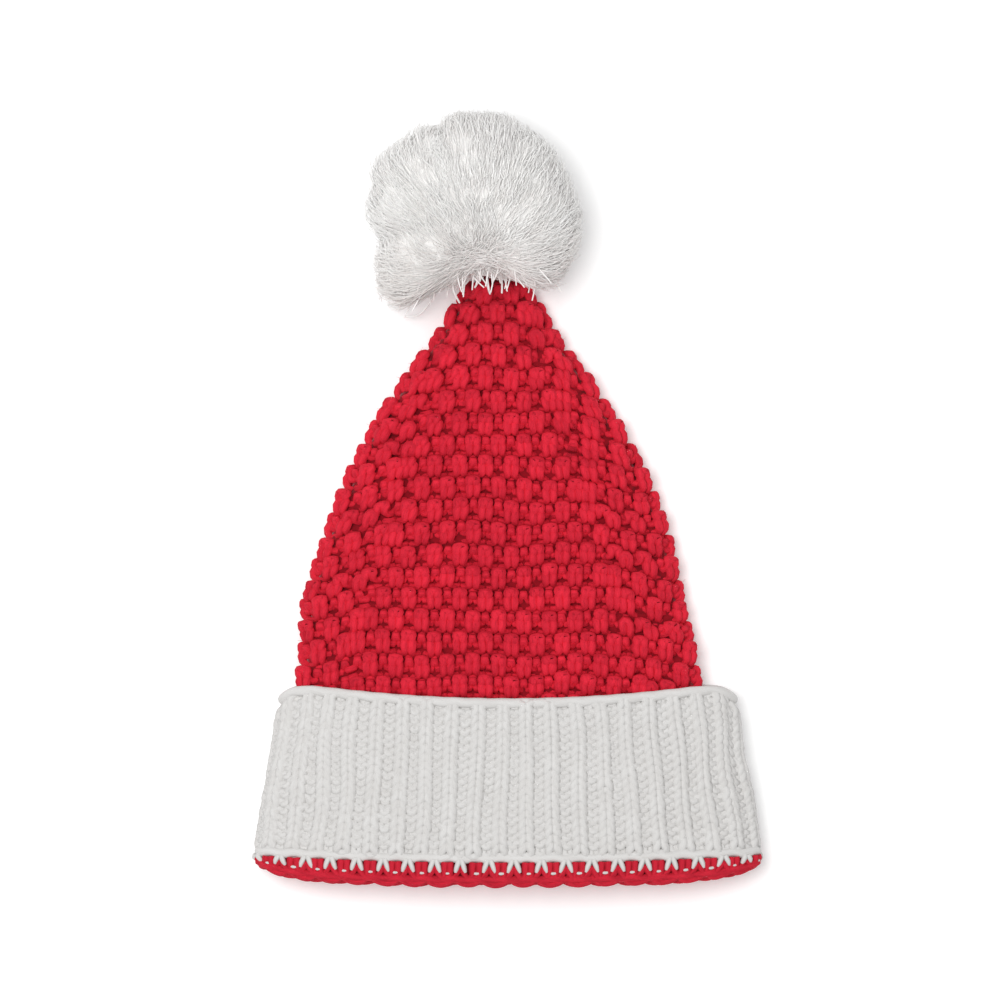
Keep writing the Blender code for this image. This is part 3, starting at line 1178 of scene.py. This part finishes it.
    def inner_face(self, inner: FeltedFinish) -> Object:
        """The wall behind the stitches, from the hem to the gathered tip.

        Args:
            inner: Its finish.

        Returns:
            The wall, as one piece.
        """
        length, depth, count = self.shape.crown_length, self.shape.cuff_span, self.face_columns
        down, up = np.linspace(-0.02, -1.0, 12) * depth, np.linspace(-1.0, -0.02, 12) * depth
        inside = np.concatenate([np.linspace(self.hollow_end, 0.0, 40) * length, down])
        outside = np.concatenate([up, np.linspace(0.0, self.face_end, 60) * length])
        loops = [self.shape.crown_loop(v, self.shape.crown_wall, count) for v in inside]
        inset = self.face_inset * self.yarn_radius
        loops += [self.shape.crown_loop(v, inset, count) for v in outside]
        return grid_piece("crown_inner_face", loops, False, inner.material())


@dataclass
class Cuff:
    """The white turned-up band in one-by-one rib, with a smooth bound edge."""

    shape: Shape
    ribs: int = 40
    phase: float = 0.22  # by which the valleys lie right of the middle, in ribs
    courses: int = 18
    yarn_radius: float = 0.0021
    depth: float = 0.0005
    knit_share: float = 0.64  # of a rib's width that its knit stitch takes
    knit_size: float = 1.10  # of the yarn's radius
    purl_size: float = 0.90
    ridge: float = 0.0005
    pinch: float = 0.04  # share of a ridge's width that its legs stand nearer its middle
    first: float = 0.0062  # from the upper edge to the first course
    pitch: float = 0.00390
    edge_radius: float = 0.0024
    edge_inset: float = 0.0003  # of the edge's strands behind the outside
    last_drop: float = 0.0767  # from the upper edge to the plain ring at the bottom
    spread: float = 0.2  # share of its width by which a stitch's head is wider than its feet
    reach: float = 0.82  # of a head or foot, in courses
    stray_along: float = 0.00015  # how far the yarn strays from its course
    stray_out: float = 0.00012
    sway: Ripple = Ripple(0.0007, 0.05, 15)  # of the ribs, along them
    drift: Ripple = Ripple(0.0008, 0.06, 16)  # of the ribs, across them
    billow: Ripple = Ripple(0.0004, 0.04, 17)  # of the ribs, outwards
    rest: float = 1.2  # least height of the yarn's middle, in its radii
    edge_rest: float = 1.1  # the same of the edge's strands
    samples: int = 12
    sides: int = 6
    columns: int = 480
    grid_rows: int = 80

    def surface(self) -> Surface:
        """The cuff's outside."""
        heights = np.linspace(0, 1, self.grid_rows + 1)
        return Surface(np.stack([self.shape.cuff_loop(h, 0.0, self.columns) for h in heights]))

    def line_row(self, down: float) -> float:
        """Grid row at a distance below the upper edge."""
        return self.grid_rows * (1 - down / self.shape.cuff_span)

    def add_course(self, skein: Skein, surface: Surface, down: float, chance: Chance) -> None:
        """Adds one course of rib.

        Args:
            skein: What it is added to.
            surface: The cuff's outside.
            down: Its distance below the upper edge.
            chance: Source of the stitches' unevenness.
        """
        row_size = self.shape.cuff_span / self.grid_rows
        girth = surface.girth_at(self.line_row(down))
        pair = girth / self.ribs
        rib = np.arange(self.ribs)
        turn = (np.stack([rib, rib + 0.5], axis=1).ravel() - self.phase) / self.ribs
        width = np.tile([1 - self.knit_share, self.knit_share], self.ribs) * pair
        face = np.tile([float(Face.PURL.value), float(Face.KNIT.value)], self.ribs)
        reach = self.reach * self.pitch
        form = LoopForm(reach, reach, self.spread, self.depth, self.samples, Way.DOWN, self.pinch)
        around, along, out = form.path(width, face, face)
        count = len(turn)
        uneven = chance.normal(0, 1, (3, count)).repeat(self.samples, axis=1)
        turns = (turn[:, None] + around / girth).ravel()
        rows = self.line_row(down) + (along.ravel() + self.stray_along * uneven[0]) / row_size
        ridge = -self.ridge * np.cos(2 * pi * (self.ribs * turns + self.phase))
        base = surface.place(rows, turns, np.zeros_like(turns))
        rows = rows + self.sway.at(base[:, 0], base[:, 1]) / row_size
        turns = turns + self.drift.at(base[:, 0], base[:, 1]) / girth
        swell = self.billow.at(base[:, 0], base[:, 1])
        sunk = self.depth + self.yarn_radius
        w = out.ravel() + ridge + swell - sunk + self.stray_out * uneven[1]
        line = surface.place(rows, turns, w)
        press(line, self.rest * self.yarn_radius)
        size = form.eased(np.where(face > 0, self.knit_size, self.purl_size), 1.0)
        thick = np.clip(size + 0.03 * uneven[2], 0.8, 1.15)
        skein.add(line, thick, np.clip(0.5 + 0.3 * uneven[1], 0, 1), closed=True)

    def plain_rings(self) -> Skein:
        """The two strands of the bound edge, and the plain strand above the hem."""
        skein = Skein()
        radius, wall = self.edge_radius, self.shape.cuff_wall
        low = 1 - self.last_drop / self.shape.cuff_span
        for height, inset, drop, wave in (
            (1.0, radius + self.edge_inset, radius * 1.02, 0.0002),
            (1.0, wall - radius, radius * 1.05, 0.0002),
            (low, radius + self.edge_inset, 0.0, 0.0004),
        ):
            line = self.shape.cuff_loop(height, inset, 8 * self.ribs)
            rib = 2 * pi * (self.ribs * np.arange(len(line)) / len(line) + self.phase)
            line[:, 1] -= drop + wave * np.cos(rib)
            press(line, self.edge_rest * radius)
            tone = 0.5 + 0.3 * np.cos(rib * 0.31)
            skein.add(line, 1.0 + 0.05 * np.cos(rib), tone, closed=True)
        return skein

    def build(self, sweep: YarnSweep, finish: YarnFinish, inner: FeltedFinish) -> list[Object]:
        """Makes the rib, the bound edge and the fabric behind them.

        Args:
            sweep: The tree that sweeps the yarn.
            finish: The yarn's finish.
            inner: The finish of the fabric behind.

        Returns:
            The cuff's pieces.
        """
        surface = self.surface()
        chance = np.random.default_rng(21)
        upper, lower = Skein(), Skein()
        for number in range(self.courses):
            skein = upper if number < self.courses // 2 else lower
            self.add_course(skein, surface, self.first + number * self.pitch, chance)
        yarn = finish.material()
        skeins = {"cuff_rib_upper": upper, "cuff_rib_lower": lower}
        pieces = sweep.sweep_each(skeins, self.yarn_radius, self.sides, yarn)
        pieces.append(sweep.sweep("cuff_plain_edges", self.plain_rings(), self.edge_radius, 10, yarn))
        pieces.append(self.inner_face(inner))
        return pieces

    def inner_face(self, inner: FeltedFinish) -> Object:
        """The wall behind the ribs, closed round its upper edge."""
        wall, behind = self.shape.cuff_wall, self.depth + 1.2 * self.yarn_radius
        count, heights = 160, np.linspace(0.0, 0.955, 20)
        loops = [self.shape.cuff_loop(h, behind, count) for h in heights]
        loops.append(self.shape.cuff_loop(0.968, 0.5 * (wall + behind), count))
        loops += [self.shape.cuff_loop(h, wall, count) for h in heights[::-1]]
        return grid_piece("cuff_inner_face", loops, True, inner.material())


@dataclass
class HemEdging:
    """The red fold: a lobe on each rib, with white legs of the rib's last course between."""

    shape: Shape
    ribs: int = 40
    phase: float = 0.22  # by which the valleys lie right of the middle, in ribs
    body_inset: float = 0.0036
    yarn_inset: float = 0.0021
    lobe_radius: float = 0.0021
    leg_radius: float = 0.0013
    lobes: int = 37  # scallops round the lower edge, a little wider than the ribs
    lobe_phase: float = 0.3  # by which they lie right of the middle, in lobes
    columns: int = 480
    # place on the profile, scallop in rows of the profile, and height over the fold, of the rings
    rings: Table = (
        (1.55, -0.10, -0.0004),
        (2.20, 0.05, -0.0032),
        (3.10, 0.05, -0.0040),
        (3.90, 0.05, -0.0032),
        (4.50, -0.10, -0.0004),
        (5.15, 0.10, 0.0),
    )
    # strands on each rib: distance round from its middle, place and height over the fold
    block: Table = (
        (0.0013, 0.15, 0.0002),
        (0.0015, 0.5, 0.0003),
        (0.0014, 0.9, 0.0),
        (0.0018, 1.5, 0.0),
    )
    peak: Table = (
        (-0.0038, 1.55, 0.0),
        (-0.0018, 1.0, 0.0),
        (0.0, 0.55, 0.0),
        (0.0018, 1.0, 0.0),
        (0.0038, 1.55, 0.0),
    )
    lobe: Table = (
        (-0.0070, 1.35, -0.0014),
        (-0.0040, 2.10, -0.0006),
        (0.0, 2.45, -0.0003),
        (0.0040, 2.10, -0.0006),
        (0.0070, 1.35, -0.0014),
    )
    leg: Table = (
        (0.0008, 0.0, 0.0012),
        (0.0013, 0.25, 0.0015),
        (0.0020, 0.52, 0.0014),
        (0.0026, 0.82, 0.0006),
    )
    eye: Table = ((-0.0012, 0.90, 0.0010), (0.0, 0.93, 0.0012), (0.0012, 0.90, 0.0010))
    # inset from the cuff's outside to the crown's inside, and height, round the fold
    profile: Table = (
        (0.0, 0.00, 1.15),
        (1.0, 0.00, 0.52),
        (2.0, 0.14, 0.14),
        (3.0, 0.50, 0.00),
        (4.0, 0.86, 0.14),
        (5.0, 1.00, 0.52),
        (6.0, 1.00, 1.00),
    )
    steps: int = 12  # grid rows for each row of the profile
    rest: float = 1.2  # least height of a strand's middle, in its radii
    ring_rest: float = 1.1  # the same of a ring

    def loops(self, shrink: float, count: int) -> list[Array]:
        """The fold's surface, from the cuff round the lower edge to the crown.

        Args:
            shrink: How far under the solid's surface it lies.
            count: Number of points in each loop.

        Returns:
            The loops.
        """
        at = np.linspace(0, len(self.profile) - 1, self.steps * (len(self.profile) - 1) + 1)
        inset, height = smooth_read(self.profile, 1, at), smooth_read(self.profile, 2, at)
        return [self.shape.hem_loop(a, b, shrink, count) for a, b in zip(inset, height)]

    def strand(
        self, skein: Skein, surface: Surface, middle: float, points: Table,
        side: float, thick: float, tone: float,
    ) -> None:
        """Adds a strand over the fold.

        Args:
            skein: What it is added to.
            surface: The fold's surface.
            middle: Where it lies, in turns.
            points: Its course: distance round, place on the profile and height over the fold.
            side: What the distances round are multiplied by.
            thick: Share of the sweep's radius.
            tone: Its lightness.
        """
        at = np.linspace(0, len(points) - 1, 3 * len(points))
        rows = tuple((float(k), *point) for k, point in enumerate(points))
        around, place, out = (smooth_read(rows, column, at) for column in (1, 2, 3))
        turn = middle + side * around / surface.girth_at(self.steps)
        line = surface.place(place * self.steps, turn, out)
        press(line, self.rest * self.lobe_radius)
        plump = thick * (1 - 0.3 * np.linspace(0, 1, len(at)) ** 4)
        skein.add(line, plump, np.full(len(at), tone), closed=False)

    def ring(self, skein: Skein, surface: Surface, row: tuple[float, ...], seed: int) -> None:
        """Adds a ring of yarn round the fold.

        Args:
            skein: What it is added to.
            surface: The fold's surface.
            row: Its row of the table of rings.
            seed: Start of its random draws.
        """
        place, scallop, out = row
        chance = np.random.default_rng(seed)
        turn = np.arange(12 * self.ribs) / (12 * self.ribs)
        wave = -np.cos(2 * pi * (turn * self.ribs + self.phase))
        depths = chance.uniform(0.6, 1.4, self.ribs + 1)
        depth = np.interp(turn * self.ribs, np.arange(self.ribs + 1), depths)
        rows = (place + scallop * wave * depth) * self.steps
        line = surface.place(rows, turn, out + 0.0002 * wave)
        press(line, self.ring_rest * self.lobe_radius)
        skein.add(line, 1.0 + 0.07 * wave, np.clip(0.5 + 0.35 * wave * depth, 0, 1), closed=True)

    def build(
        self, sweep: YarnSweep, red: YarnFinish, white: YarnFinish, inner: FeltedFinish
    ) -> list[Object]:
        """Makes the fold, its lobes, its eyes and the white legs.

        Args:
            sweep: The tree that sweeps the yarn.
            red: Finish of the lobes.
            white: Finish of the eyes and legs.
            inner: Finish of the fold under them, darkened as painted shade between them.

        Returns:
            The hem's pieces.
        """
        body = grid_piece("hem_fold", self.loops(self.body_inset, 160), True, inner.material())
        surface = Surface(np.stack(self.loops(self.yarn_inset, self.columns)), flipped=True)
        chance = np.random.default_rng(31)
        lobes, bright = Skein(), Skein()
        for number, row in enumerate(self.rings):
            self.ring(lobes, surface, row, 32 + number)
        last = len(self.profile) - 1
        for number in range(self.lobes):
            size, shift = chance.uniform(0.9, 1.1), chance.uniform(-0.06, 0.06)
            middle, tone = (number - self.lobe_phase + shift) / self.lobes, chance.uniform(0.2, 0.8)
            back = tuple((around, last - place, out) for around, place, out in self.lobe)
            self.strand(lobes, surface, middle, self.lobe, 1.0, 1.05 * size, tone)
            self.strand(lobes, surface, middle, back, 1.0, 1.05 * size, tone)
        for rib in range(self.ribs):
            size, shift = chance.uniform(0.88, 1.12), chance.uniform(-0.05, 0.05)
            ridge, tone = (rib + shift - self.phase) / self.ribs, chance.uniform(0.2, 0.8)
            valley = ridge + 0.5 / self.ribs
            self.strand(lobes, surface, ridge, self.peak, 1.0, 0.75 * size, tone)
            self.strand(bright, surface, valley, self.eye, size, 0.55 * size, 0.0)
            for side in (-size, size):
                self.strand(lobes, surface, valley, self.block, side, 0.9, tone)
                self.strand(bright, surface, ridge, self.leg, side, 1.0, 0.7)
        red_yarn, white_yarn = red.material(), white.material()
        return [
            body,
            sweep.sweep("hem_lobes", lobes, self.lobe_radius, 7, red_yarn),
            sweep.sweep("hem_white_legs", bright, self.leg_radius, 6, white_yarn),
        ]


@dataclass
class Pompom:
    """Cut yarn tied at the crown's tip: tufts of frayed fibres round a core."""

    centre: Array
    width: float = 0.112
    top: float = 0.0378
    under: float = 0.037
    size: float = 0.97  # of the outline that the fibres' ends keep to
    tufts: int = 680
    fibres: int = 22  # of each tuft
    fibre_radius: float = 0.00027
    root: float = 0.86  # share of the reach where the fibres start
    core_size: float = 0.92
    core_rows: int = 52
    core_columns: int = 96
    core_floor: float = 0.002  # least height of its surface
    core_tone: float = 0.7
    lumps: Ripple = Ripple(0.0003, 0.013, 45)  # unevenness of the core
    fringe: int = 40  # short strands that hang over the crown's tip
    fringe_span: tuple[float, float] = (228.0, 318.0)  # azimuths that they start between
    combed: float = 0.25  # angle that the fibres lie along, away from the pole
    pole: Triple = (0.05, -0.80, 0.60)
    swirl: float = 0.55  # how far the combing strays near the pole
    spread: float = 0.085  # angle from a tuft's middle to its outer fibres' ends
    points: int = 4
    sag: float = 0.0025
    painted_low_shade: float = 0.65  # painted shade: by which the fibres' tone falls towards the crown
    stray_radius: float = 0.0006
    # loose strands: x, y and z of the start, middle and end
    strays: Table = (
        (-0.0268, 0.1050, 0.034, -0.0256, 0.0990, 0.030, -0.0232, 0.0944, 0.0225),
        (-0.0096, 0.1095, 0.036, -0.0100, 0.1035, 0.032, -0.0086, 0.0985, 0.0250),
        (-0.0053, 0.1080, 0.036, -0.0030, 0.1040, 0.031, -0.0029, 0.0989, 0.0260),
        (-0.0182, 0.1090, 0.035, -0.0188, 0.1050, 0.031, -0.0215, 0.1020, 0.0240),
        (-0.0014, 0.1095, 0.036, 0.0020, 0.1075, 0.032, 0.0062, 0.1047, 0.0260),
        (0.0057, 0.1110, 0.035, 0.0090, 0.1080, 0.029, 0.0122, 0.1037, 0.0220),
        (-0.0225, 0.1075, 0.034, -0.0238, 0.1030, 0.030, -0.0262, 0.0995, 0.0230),
        (-0.0140, 0.1090, 0.036, -0.0138, 0.1050, 0.031, -0.0158, 0.1015, 0.0260),
        (0.0177, 0.1140, 0.024, 0.0205, 0.1080, 0.016, 0.0232, 0.1028, 0.0080),
        (0.0140, 0.1110, 0.022, 0.0180, 0.1060, 0.015, 0.0222, 0.1015, 0.0060),
        (-0.0344, 0.0990, 0.022, -0.0418, 0.0894, 0.014, -0.0495, 0.0878, 0.0080),
        (-0.0460, 0.0960, 0.020, -0.0525, 0.0915, 0.012, -0.0580, 0.0935, 0.0060),
        (-0.0610, 0.1500, 0.022, -0.0655, 0.1585, 0.020, -0.0662, 0.1625, 0.0190),
    )
    # reach in each direction, as a share of half the width: azimuth 0 is +X and 90 is +Y
    outline: Table = (
        (0, 0.90), (14, 0.85), (34, 0.845), (48, 0.86), (60, 0.835), (69, 0.867), (90, 0.854),
        (107, 0.848), (115, 0.80), (123, 0.87), (134, 0.893), (144, 0.955), (157, 0.99),
        (167, 0.945), (178, 0.98), (188, 0.965), (200, 0.90), (206, 1.0), (212, 1.05), (218, 1.11),
        (226, 1.125), (236, 1.03), (240, 0.89), (246, 0.77), (257, 0.66), (270, 0.59), (280, 0.59),
        (289, 0.63), (300, 0.725), (308, 0.87), (318, 0.95), (330, 0.944), (342, 0.945),
        (352, 0.931), (360, 0.90),
    )

    def reach(self, way: Array) -> Array:
        """Distance from the middle to the outside along each direction."""
        azimuth = np.degrees(np.arctan2(way[..., 1], way[..., 0])) % 360
        level = np.hypot(way[..., 0], way[..., 1])
        flat = smooth_read(self.outline, 1, azimuth) * self.width / 2
        rise = np.where(way[..., 2] > 0, self.top, self.under)
        return self.size / np.sqrt((level / flat) ** 2 + (way[..., 2] / rise) ** 2)

    def directions(self, count: int) -> Array:
        """Directions spread evenly over a ball."""
        up = 1 - 2 * (np.arange(count) + 0.5) / count
        turn = pi * (3 - sqrt(5)) * np.arange(count)
        level = np.sqrt(1 - up**2)
        return np.stack([level * np.cos(turn), level * np.sin(turn), up], axis=1)

    def core(self, finish: Material) -> Object:
        """The dense middle that the fibres grow from.

        Args:
            finish: Its material.

        Returns:
            The piece, with its tone on its points.
        """
        loops = []
        turn = np.linspace(0, 2 * pi, self.core_columns, endpoint=False)
        for tilt in np.linspace(0, pi, self.core_rows)[1:-1]:
            level, up = np.sin(tilt), np.full(self.core_columns, np.cos(tilt))
            way = np.stack([level * np.cos(turn), level * np.sin(turn), up], axis=1)
            points = self.centre + way * (self.core_size * self.reach(way))[:, None]
            lump = self.lumps.at(points[:, 0] + points[:, 2], points[:, 1] - points[:, 2])
            points += way * lump[:, None]
            press(points, self.core_floor)
            loops.append(points)
        piece = grid_piece("pompom_core", loops, False, finish)
        tone = piece.data.attributes.new("tone", "FLOAT", "POINT")
        tones = np.full(len(piece.data.vertices), self.core_tone, np.float32)
        tone.data.foreach_set("value", tones)
        return piece

    def stray_lines(self) -> Skein:
        """The loose strands at the lower edge, over the red crown and the floor."""
        skein = Skein()
        for row in self.strays:
            ends = tuple((float(k), *row[3 * k:3 * k + 3]) for k in range(3))
            at = np.linspace(0, 2, 9)
            line = np.stack([smooth_read(ends, column, at) for column in (1, 2, 3)], axis=1)
            skein.add(line, np.linspace(1.0, 0.8, 9), np.full(9, 0.8), closed=False)
        chance = np.random.default_rng(43)
        for azimuth in np.radians(np.linspace(*self.fringe_span, self.fringe)):
            way = unit(np.array([np.cos(azimuth), np.sin(azimuth), chance.uniform(-0.1, 0.5)]))
            start = self.centre + way * 0.9 * self.reach(way)
            aside, drop = chance.normal(0, 0.35), chance.uniform(-0.9, -0.2)
            fall = unit(np.array([0.6 * way[0] + aside, -1.0, drop]))
            s = np.linspace(0, 1, 6)[:, None]
            line = start + (0.5 * way * s + (fall - 0.5 * way) * s**2) * chance.uniform(0.007, 0.012)
            line[:, 2] = np.maximum(line[:, 2], 0.001)
            tone = np.full(6, chance.uniform(0.4, 0.9))
            skein.add(line, np.linspace(0.75, 0.5, 6), tone, closed=False)
        return skein

    def fibre_lines(self) -> tuple[Array, Array, Array]:
        """The fibres' centre lines.

        Returns:
            Points, fibres by points by 3, with the thickness and tone at each, the tone carrying
            painted shade.
        """
        chance = np.random.default_rng(41)
        tuft = unit(self.directions(self.tufts) + chance.normal(0, 0.03, (self.tufts, 3)))
        count = self.tufts * self.fibres

        def of_tuft(values: Array) -> Array:
            """A value of each tuft, for each of its fibres."""
            return np.repeat(values, self.fibres, axis=0)

        pole = unit(np.array(self.pole))
        back = pole - tuft * (tuft @ pole)[:, None]
        away = np.linalg.norm(back, axis=1, keepdims=True)
        back /= np.maximum(away, 0.35)
        back += chance.normal(0, 1, (self.tufts, 3)) * (0.15 + self.swirl * np.exp(-(away / 0.45) ** 2))
        long = of_tuft(chance.uniform(0.93, 1.03, self.tufts)) + chance.normal(0, 0.02, count)
        tip = unit(of_tuft(tuft) + chance.normal(0, self.spread, (count, 3)))
        combed = self.combed * chance.uniform(0.6, 1.3, (count, 1))
        base = unit(tip + combed * (of_tuft(back) + chance.normal(0, 0.08, (count, 3))))
        curl = chance.normal(0, 0.03, (count, 3))
        s = np.linspace(0, 1, self.points)[None, :, None]
        way = unit(base[:, None, :] * (1 - s) + tip[:, None, :] * s + curl[:, None, :] * np.sin(pi * s))
        rise = 1 - (1 - s[:, :, 0]) ** 1.7
        share = self.root + (long[:, None] - self.root) * rise
        line = self.centre + way * (self.reach(way) * share)[:, :, None]
        level = np.hypot(way[:, :, 0], way[:, :, 1])
        line[:, :, 2] -= self.sag * level * s[:, :, 0] ** 2
        floor = 0.0008 + 0.002 * chance.random((count, 1))
        line[:, :, 2] = np.maximum(line[:, :, 2], floor)
        thick = np.broadcast_to(1.0 - 0.4 * s[:, :, 0] ** 2, line.shape[:2])
        # painted shade: the tone is darker at the fibres' roots, deep in the ball, and on the tufts
        # that face the crown; the tuft and fibre noise is their own random lightness
        shade = 0.72 + 0.25 * s[:, :, 0] + 0.08 * of_tuft(chance.normal(0, 1, self.tufts))[:, None]
        shade = shade - self.painted_low_shade * of_tuft(np.maximum(-tuft[:, 1], 0))[:, None]
        return line, thick, np.clip(shade + chance.normal(0, 0.1, (count, 1)), 0, 1)

    def build(self, sweep: YarnSweep, finish: FibreFinish, dense: FibreFinish) -> list[Object]:
        """Makes the core and the fibres, in an upper and a lower half.

        Args:
            sweep: The tree that sweeps the fibres.
            finish: Their finish.
            dense: The core's finish, darkened as painted shade, to match the fibres in their own shade.

        Returns:
            The pompom's pieces.
        """
        material = finish.material()
        line, thick, tone = self.fibre_lines()
        upper, lower = Skein(), Skein()
        for k in range(len(line)):
            skein = upper if line[k, -1, 2] > self.centre[2] else lower
            skein.add(line[k], thick[k], tone[k], closed=False)
        return [
            self.core(dense.material()),
            sweep.sweep("pompom_yarn_upper", upper, self.fibre_radius, 3, material),
            sweep.sweep("pompom_yarn_lower", lower, self.fibre_radius, 3, material),
            sweep.sweep("pompom_loose_strands", self.stray_lines(), self.stray_radius, 6, material),
        ]


@dataclass
class Studio:
    """A pale floor, soft light from the upper left and a camera straight above."""

    centre_x: float = -0.0038
    view_width: float = 0.478  # that the picture takes in, at the hat's folds
    view_height: float = 0.022
    distance: float = 3.2
    sensor: float = 0.036
    floor_size: float = 6.0
    floor_glow: float = 0.14  # light that comes through the floor, which keeps its shadows pale
    sky: float = 0.60
    lamp_place: Triple = (-0.36, 0.18, 1.9)
    lamp_size: float = 1.0
    lamp_power: float = 24.0

    def floor(self) -> None:
        """The floor that the hat lies on."""
        half = self.floor_size / 2
        mesh = bpy.data.meshes.new("studio_floor")
        corners = [(-half, -half, 0.0), (half, -half, 0.0), (half, half, 0.0), (-half, half, 0.0)]
        mesh.from_pydata(corners, [], [(0, 1, 2, 3)])
        graph = Graph("pale floor")
        graph.dress({
            "Base Color": (0.93, 0.93, 0.93, 1.0),
            "Roughness": 0.9,
            "Specular IOR Level": 0.1,
            "Emission Color": WHITE,
            "Emission Strength": self.floor_glow,
        })
        mesh.materials.append(graph.material)
        floor = placed("studio_floor", mesh)

    def lights(self) -> None:
        """An even white sky and one large soft lamp."""
        world = bpy.data.worlds.new("studio")
        world.use_nodes = True
        background = world.node_tree.nodes["Background"]
        background.inputs["Color"].default_value = WHITE
        background.inputs["Strength"].default_value = self.sky
        bpy.context.scene.world = world
        lamp = bpy.data.lights.new("soft_lamp", "AREA")
        lamp.shape, lamp.size, lamp.energy = "DISK", self.lamp_size, self.lamp_power
        key = placed("soft_lamp", lamp)
        key.location = self.lamp_place
        key.rotation_euler = key.location.to_track_quat("Z", "Y").to_euler()

    def camera(self) -> None:
        """The camera, which looks straight down with +Y at the top of the picture."""
        data = bpy.data.cameras.new("camera")
        data.sensor_width = 1000 * self.sensor
        data.lens = 1000 * self.sensor * self.distance / self.view_width
        camera = placed("camera", data)
        camera.location = (self.centre_x, 0.0, self.view_height + self.distance)
        bpy.context.scene.camera = camera

    def build(self) -> None:
        """Sets up the floor, the lights, the camera and the picture's plain tones."""
        self.floor()
        self.lights()
        self.camera()
        bpy.context.scene.view_settings.view_transform = "Standard"


def fit(pieces: list[Object], node: str) -> None:
    """Ties a sub-assembly's pieces to the body, hides the solid that they stand for and logs their
    faces.

    Args:
        pieces: The sub-assembly's pieces.
        node: The solid that they replace.
    """
    for piece in pieces:
        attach(piece, "root")
        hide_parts(node)
        LOG.info("%s: %d faces, for %s", piece.name, len(piece.data.polygons), node)


def main() -> None:
    """Builds the sub-assemblies in order and sets up the studio."""
    logging.basicConfig(level=logging.INFO, format="%(name)s: %(message)s")
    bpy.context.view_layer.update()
    hem_low, hem_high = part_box("hem_edging")
    shape = Shape(floor_y=hem_low.y, hem_half=0.5 * (hem_high.x - hem_low.x))
    red = YarnFinish("red yarn", (0.78, 0.022, 0.048), (0.37, 0.007, 0.020))
    white = YarnFinish(
        "white yarn", (0.66, 0.652, 0.642), (0.57, 0.555, 0.54), relief=0.0003, sheen=0.1
    )
    # a darker copy of the red yarn: painted shade on the hem edging, which faces the lamp
    edging = YarnFinish("red edging yarn", (0.66, 0.019, 0.042), (0.31, 0.006, 0.017))
    # the warm deep colour is painted bounce light from the red crown, on the shaded fibres
    fluff = FibreFinish("cut yarn", (0.985, 0.98, 0.97), (0.80, 0.745, 0.72))
    # painted shade: the core is darker than the fibres, to stand in for the shade among them
    dense = FibreFinish("packed yarn", (0.83, 0.825, 0.815), (0.70, 0.675, 0.655))
    # far darker than the red yarn: painted shade, for the holes between the stitches and the gaps under
    # the hem's strands
    shaded_red_face = FeltedFinish(
        "red inner face", (0.30, 0.004, 0.012), (0.08, 0.001, 0.004), 0.0061, 0.00525
    )
    white_face = FeltedFinish(
        "white inner face", (0.70, 0.69, 0.67), (0.58, 0.56, 0.55), 0.0061, 0.004
    )
    sweep = YarnSweep()

    fit(Crown(shape).build(sweep, red, shaded_red_face), "crown")
    fit(Cuff(shape).build(sweep, white, white_face), "cuff")
    hem = HemEdging(shape).build(sweep, edging, white, shaded_red_face)
    fit(hem, "hem_edging")
    tip_y = shape.floor_y + shape.cuff_height + shape.crown_length
    aside, beyond, height = POMPOM_PLACE
    centre = np.array([shape.crown_shift * shape.slack + aside, tip_y + beyond, height])
    fit(Pompom(centre).build(sweep, fluff, dense), "pompom")
    Studio().build()


if __name__ == "__main__":
    main()
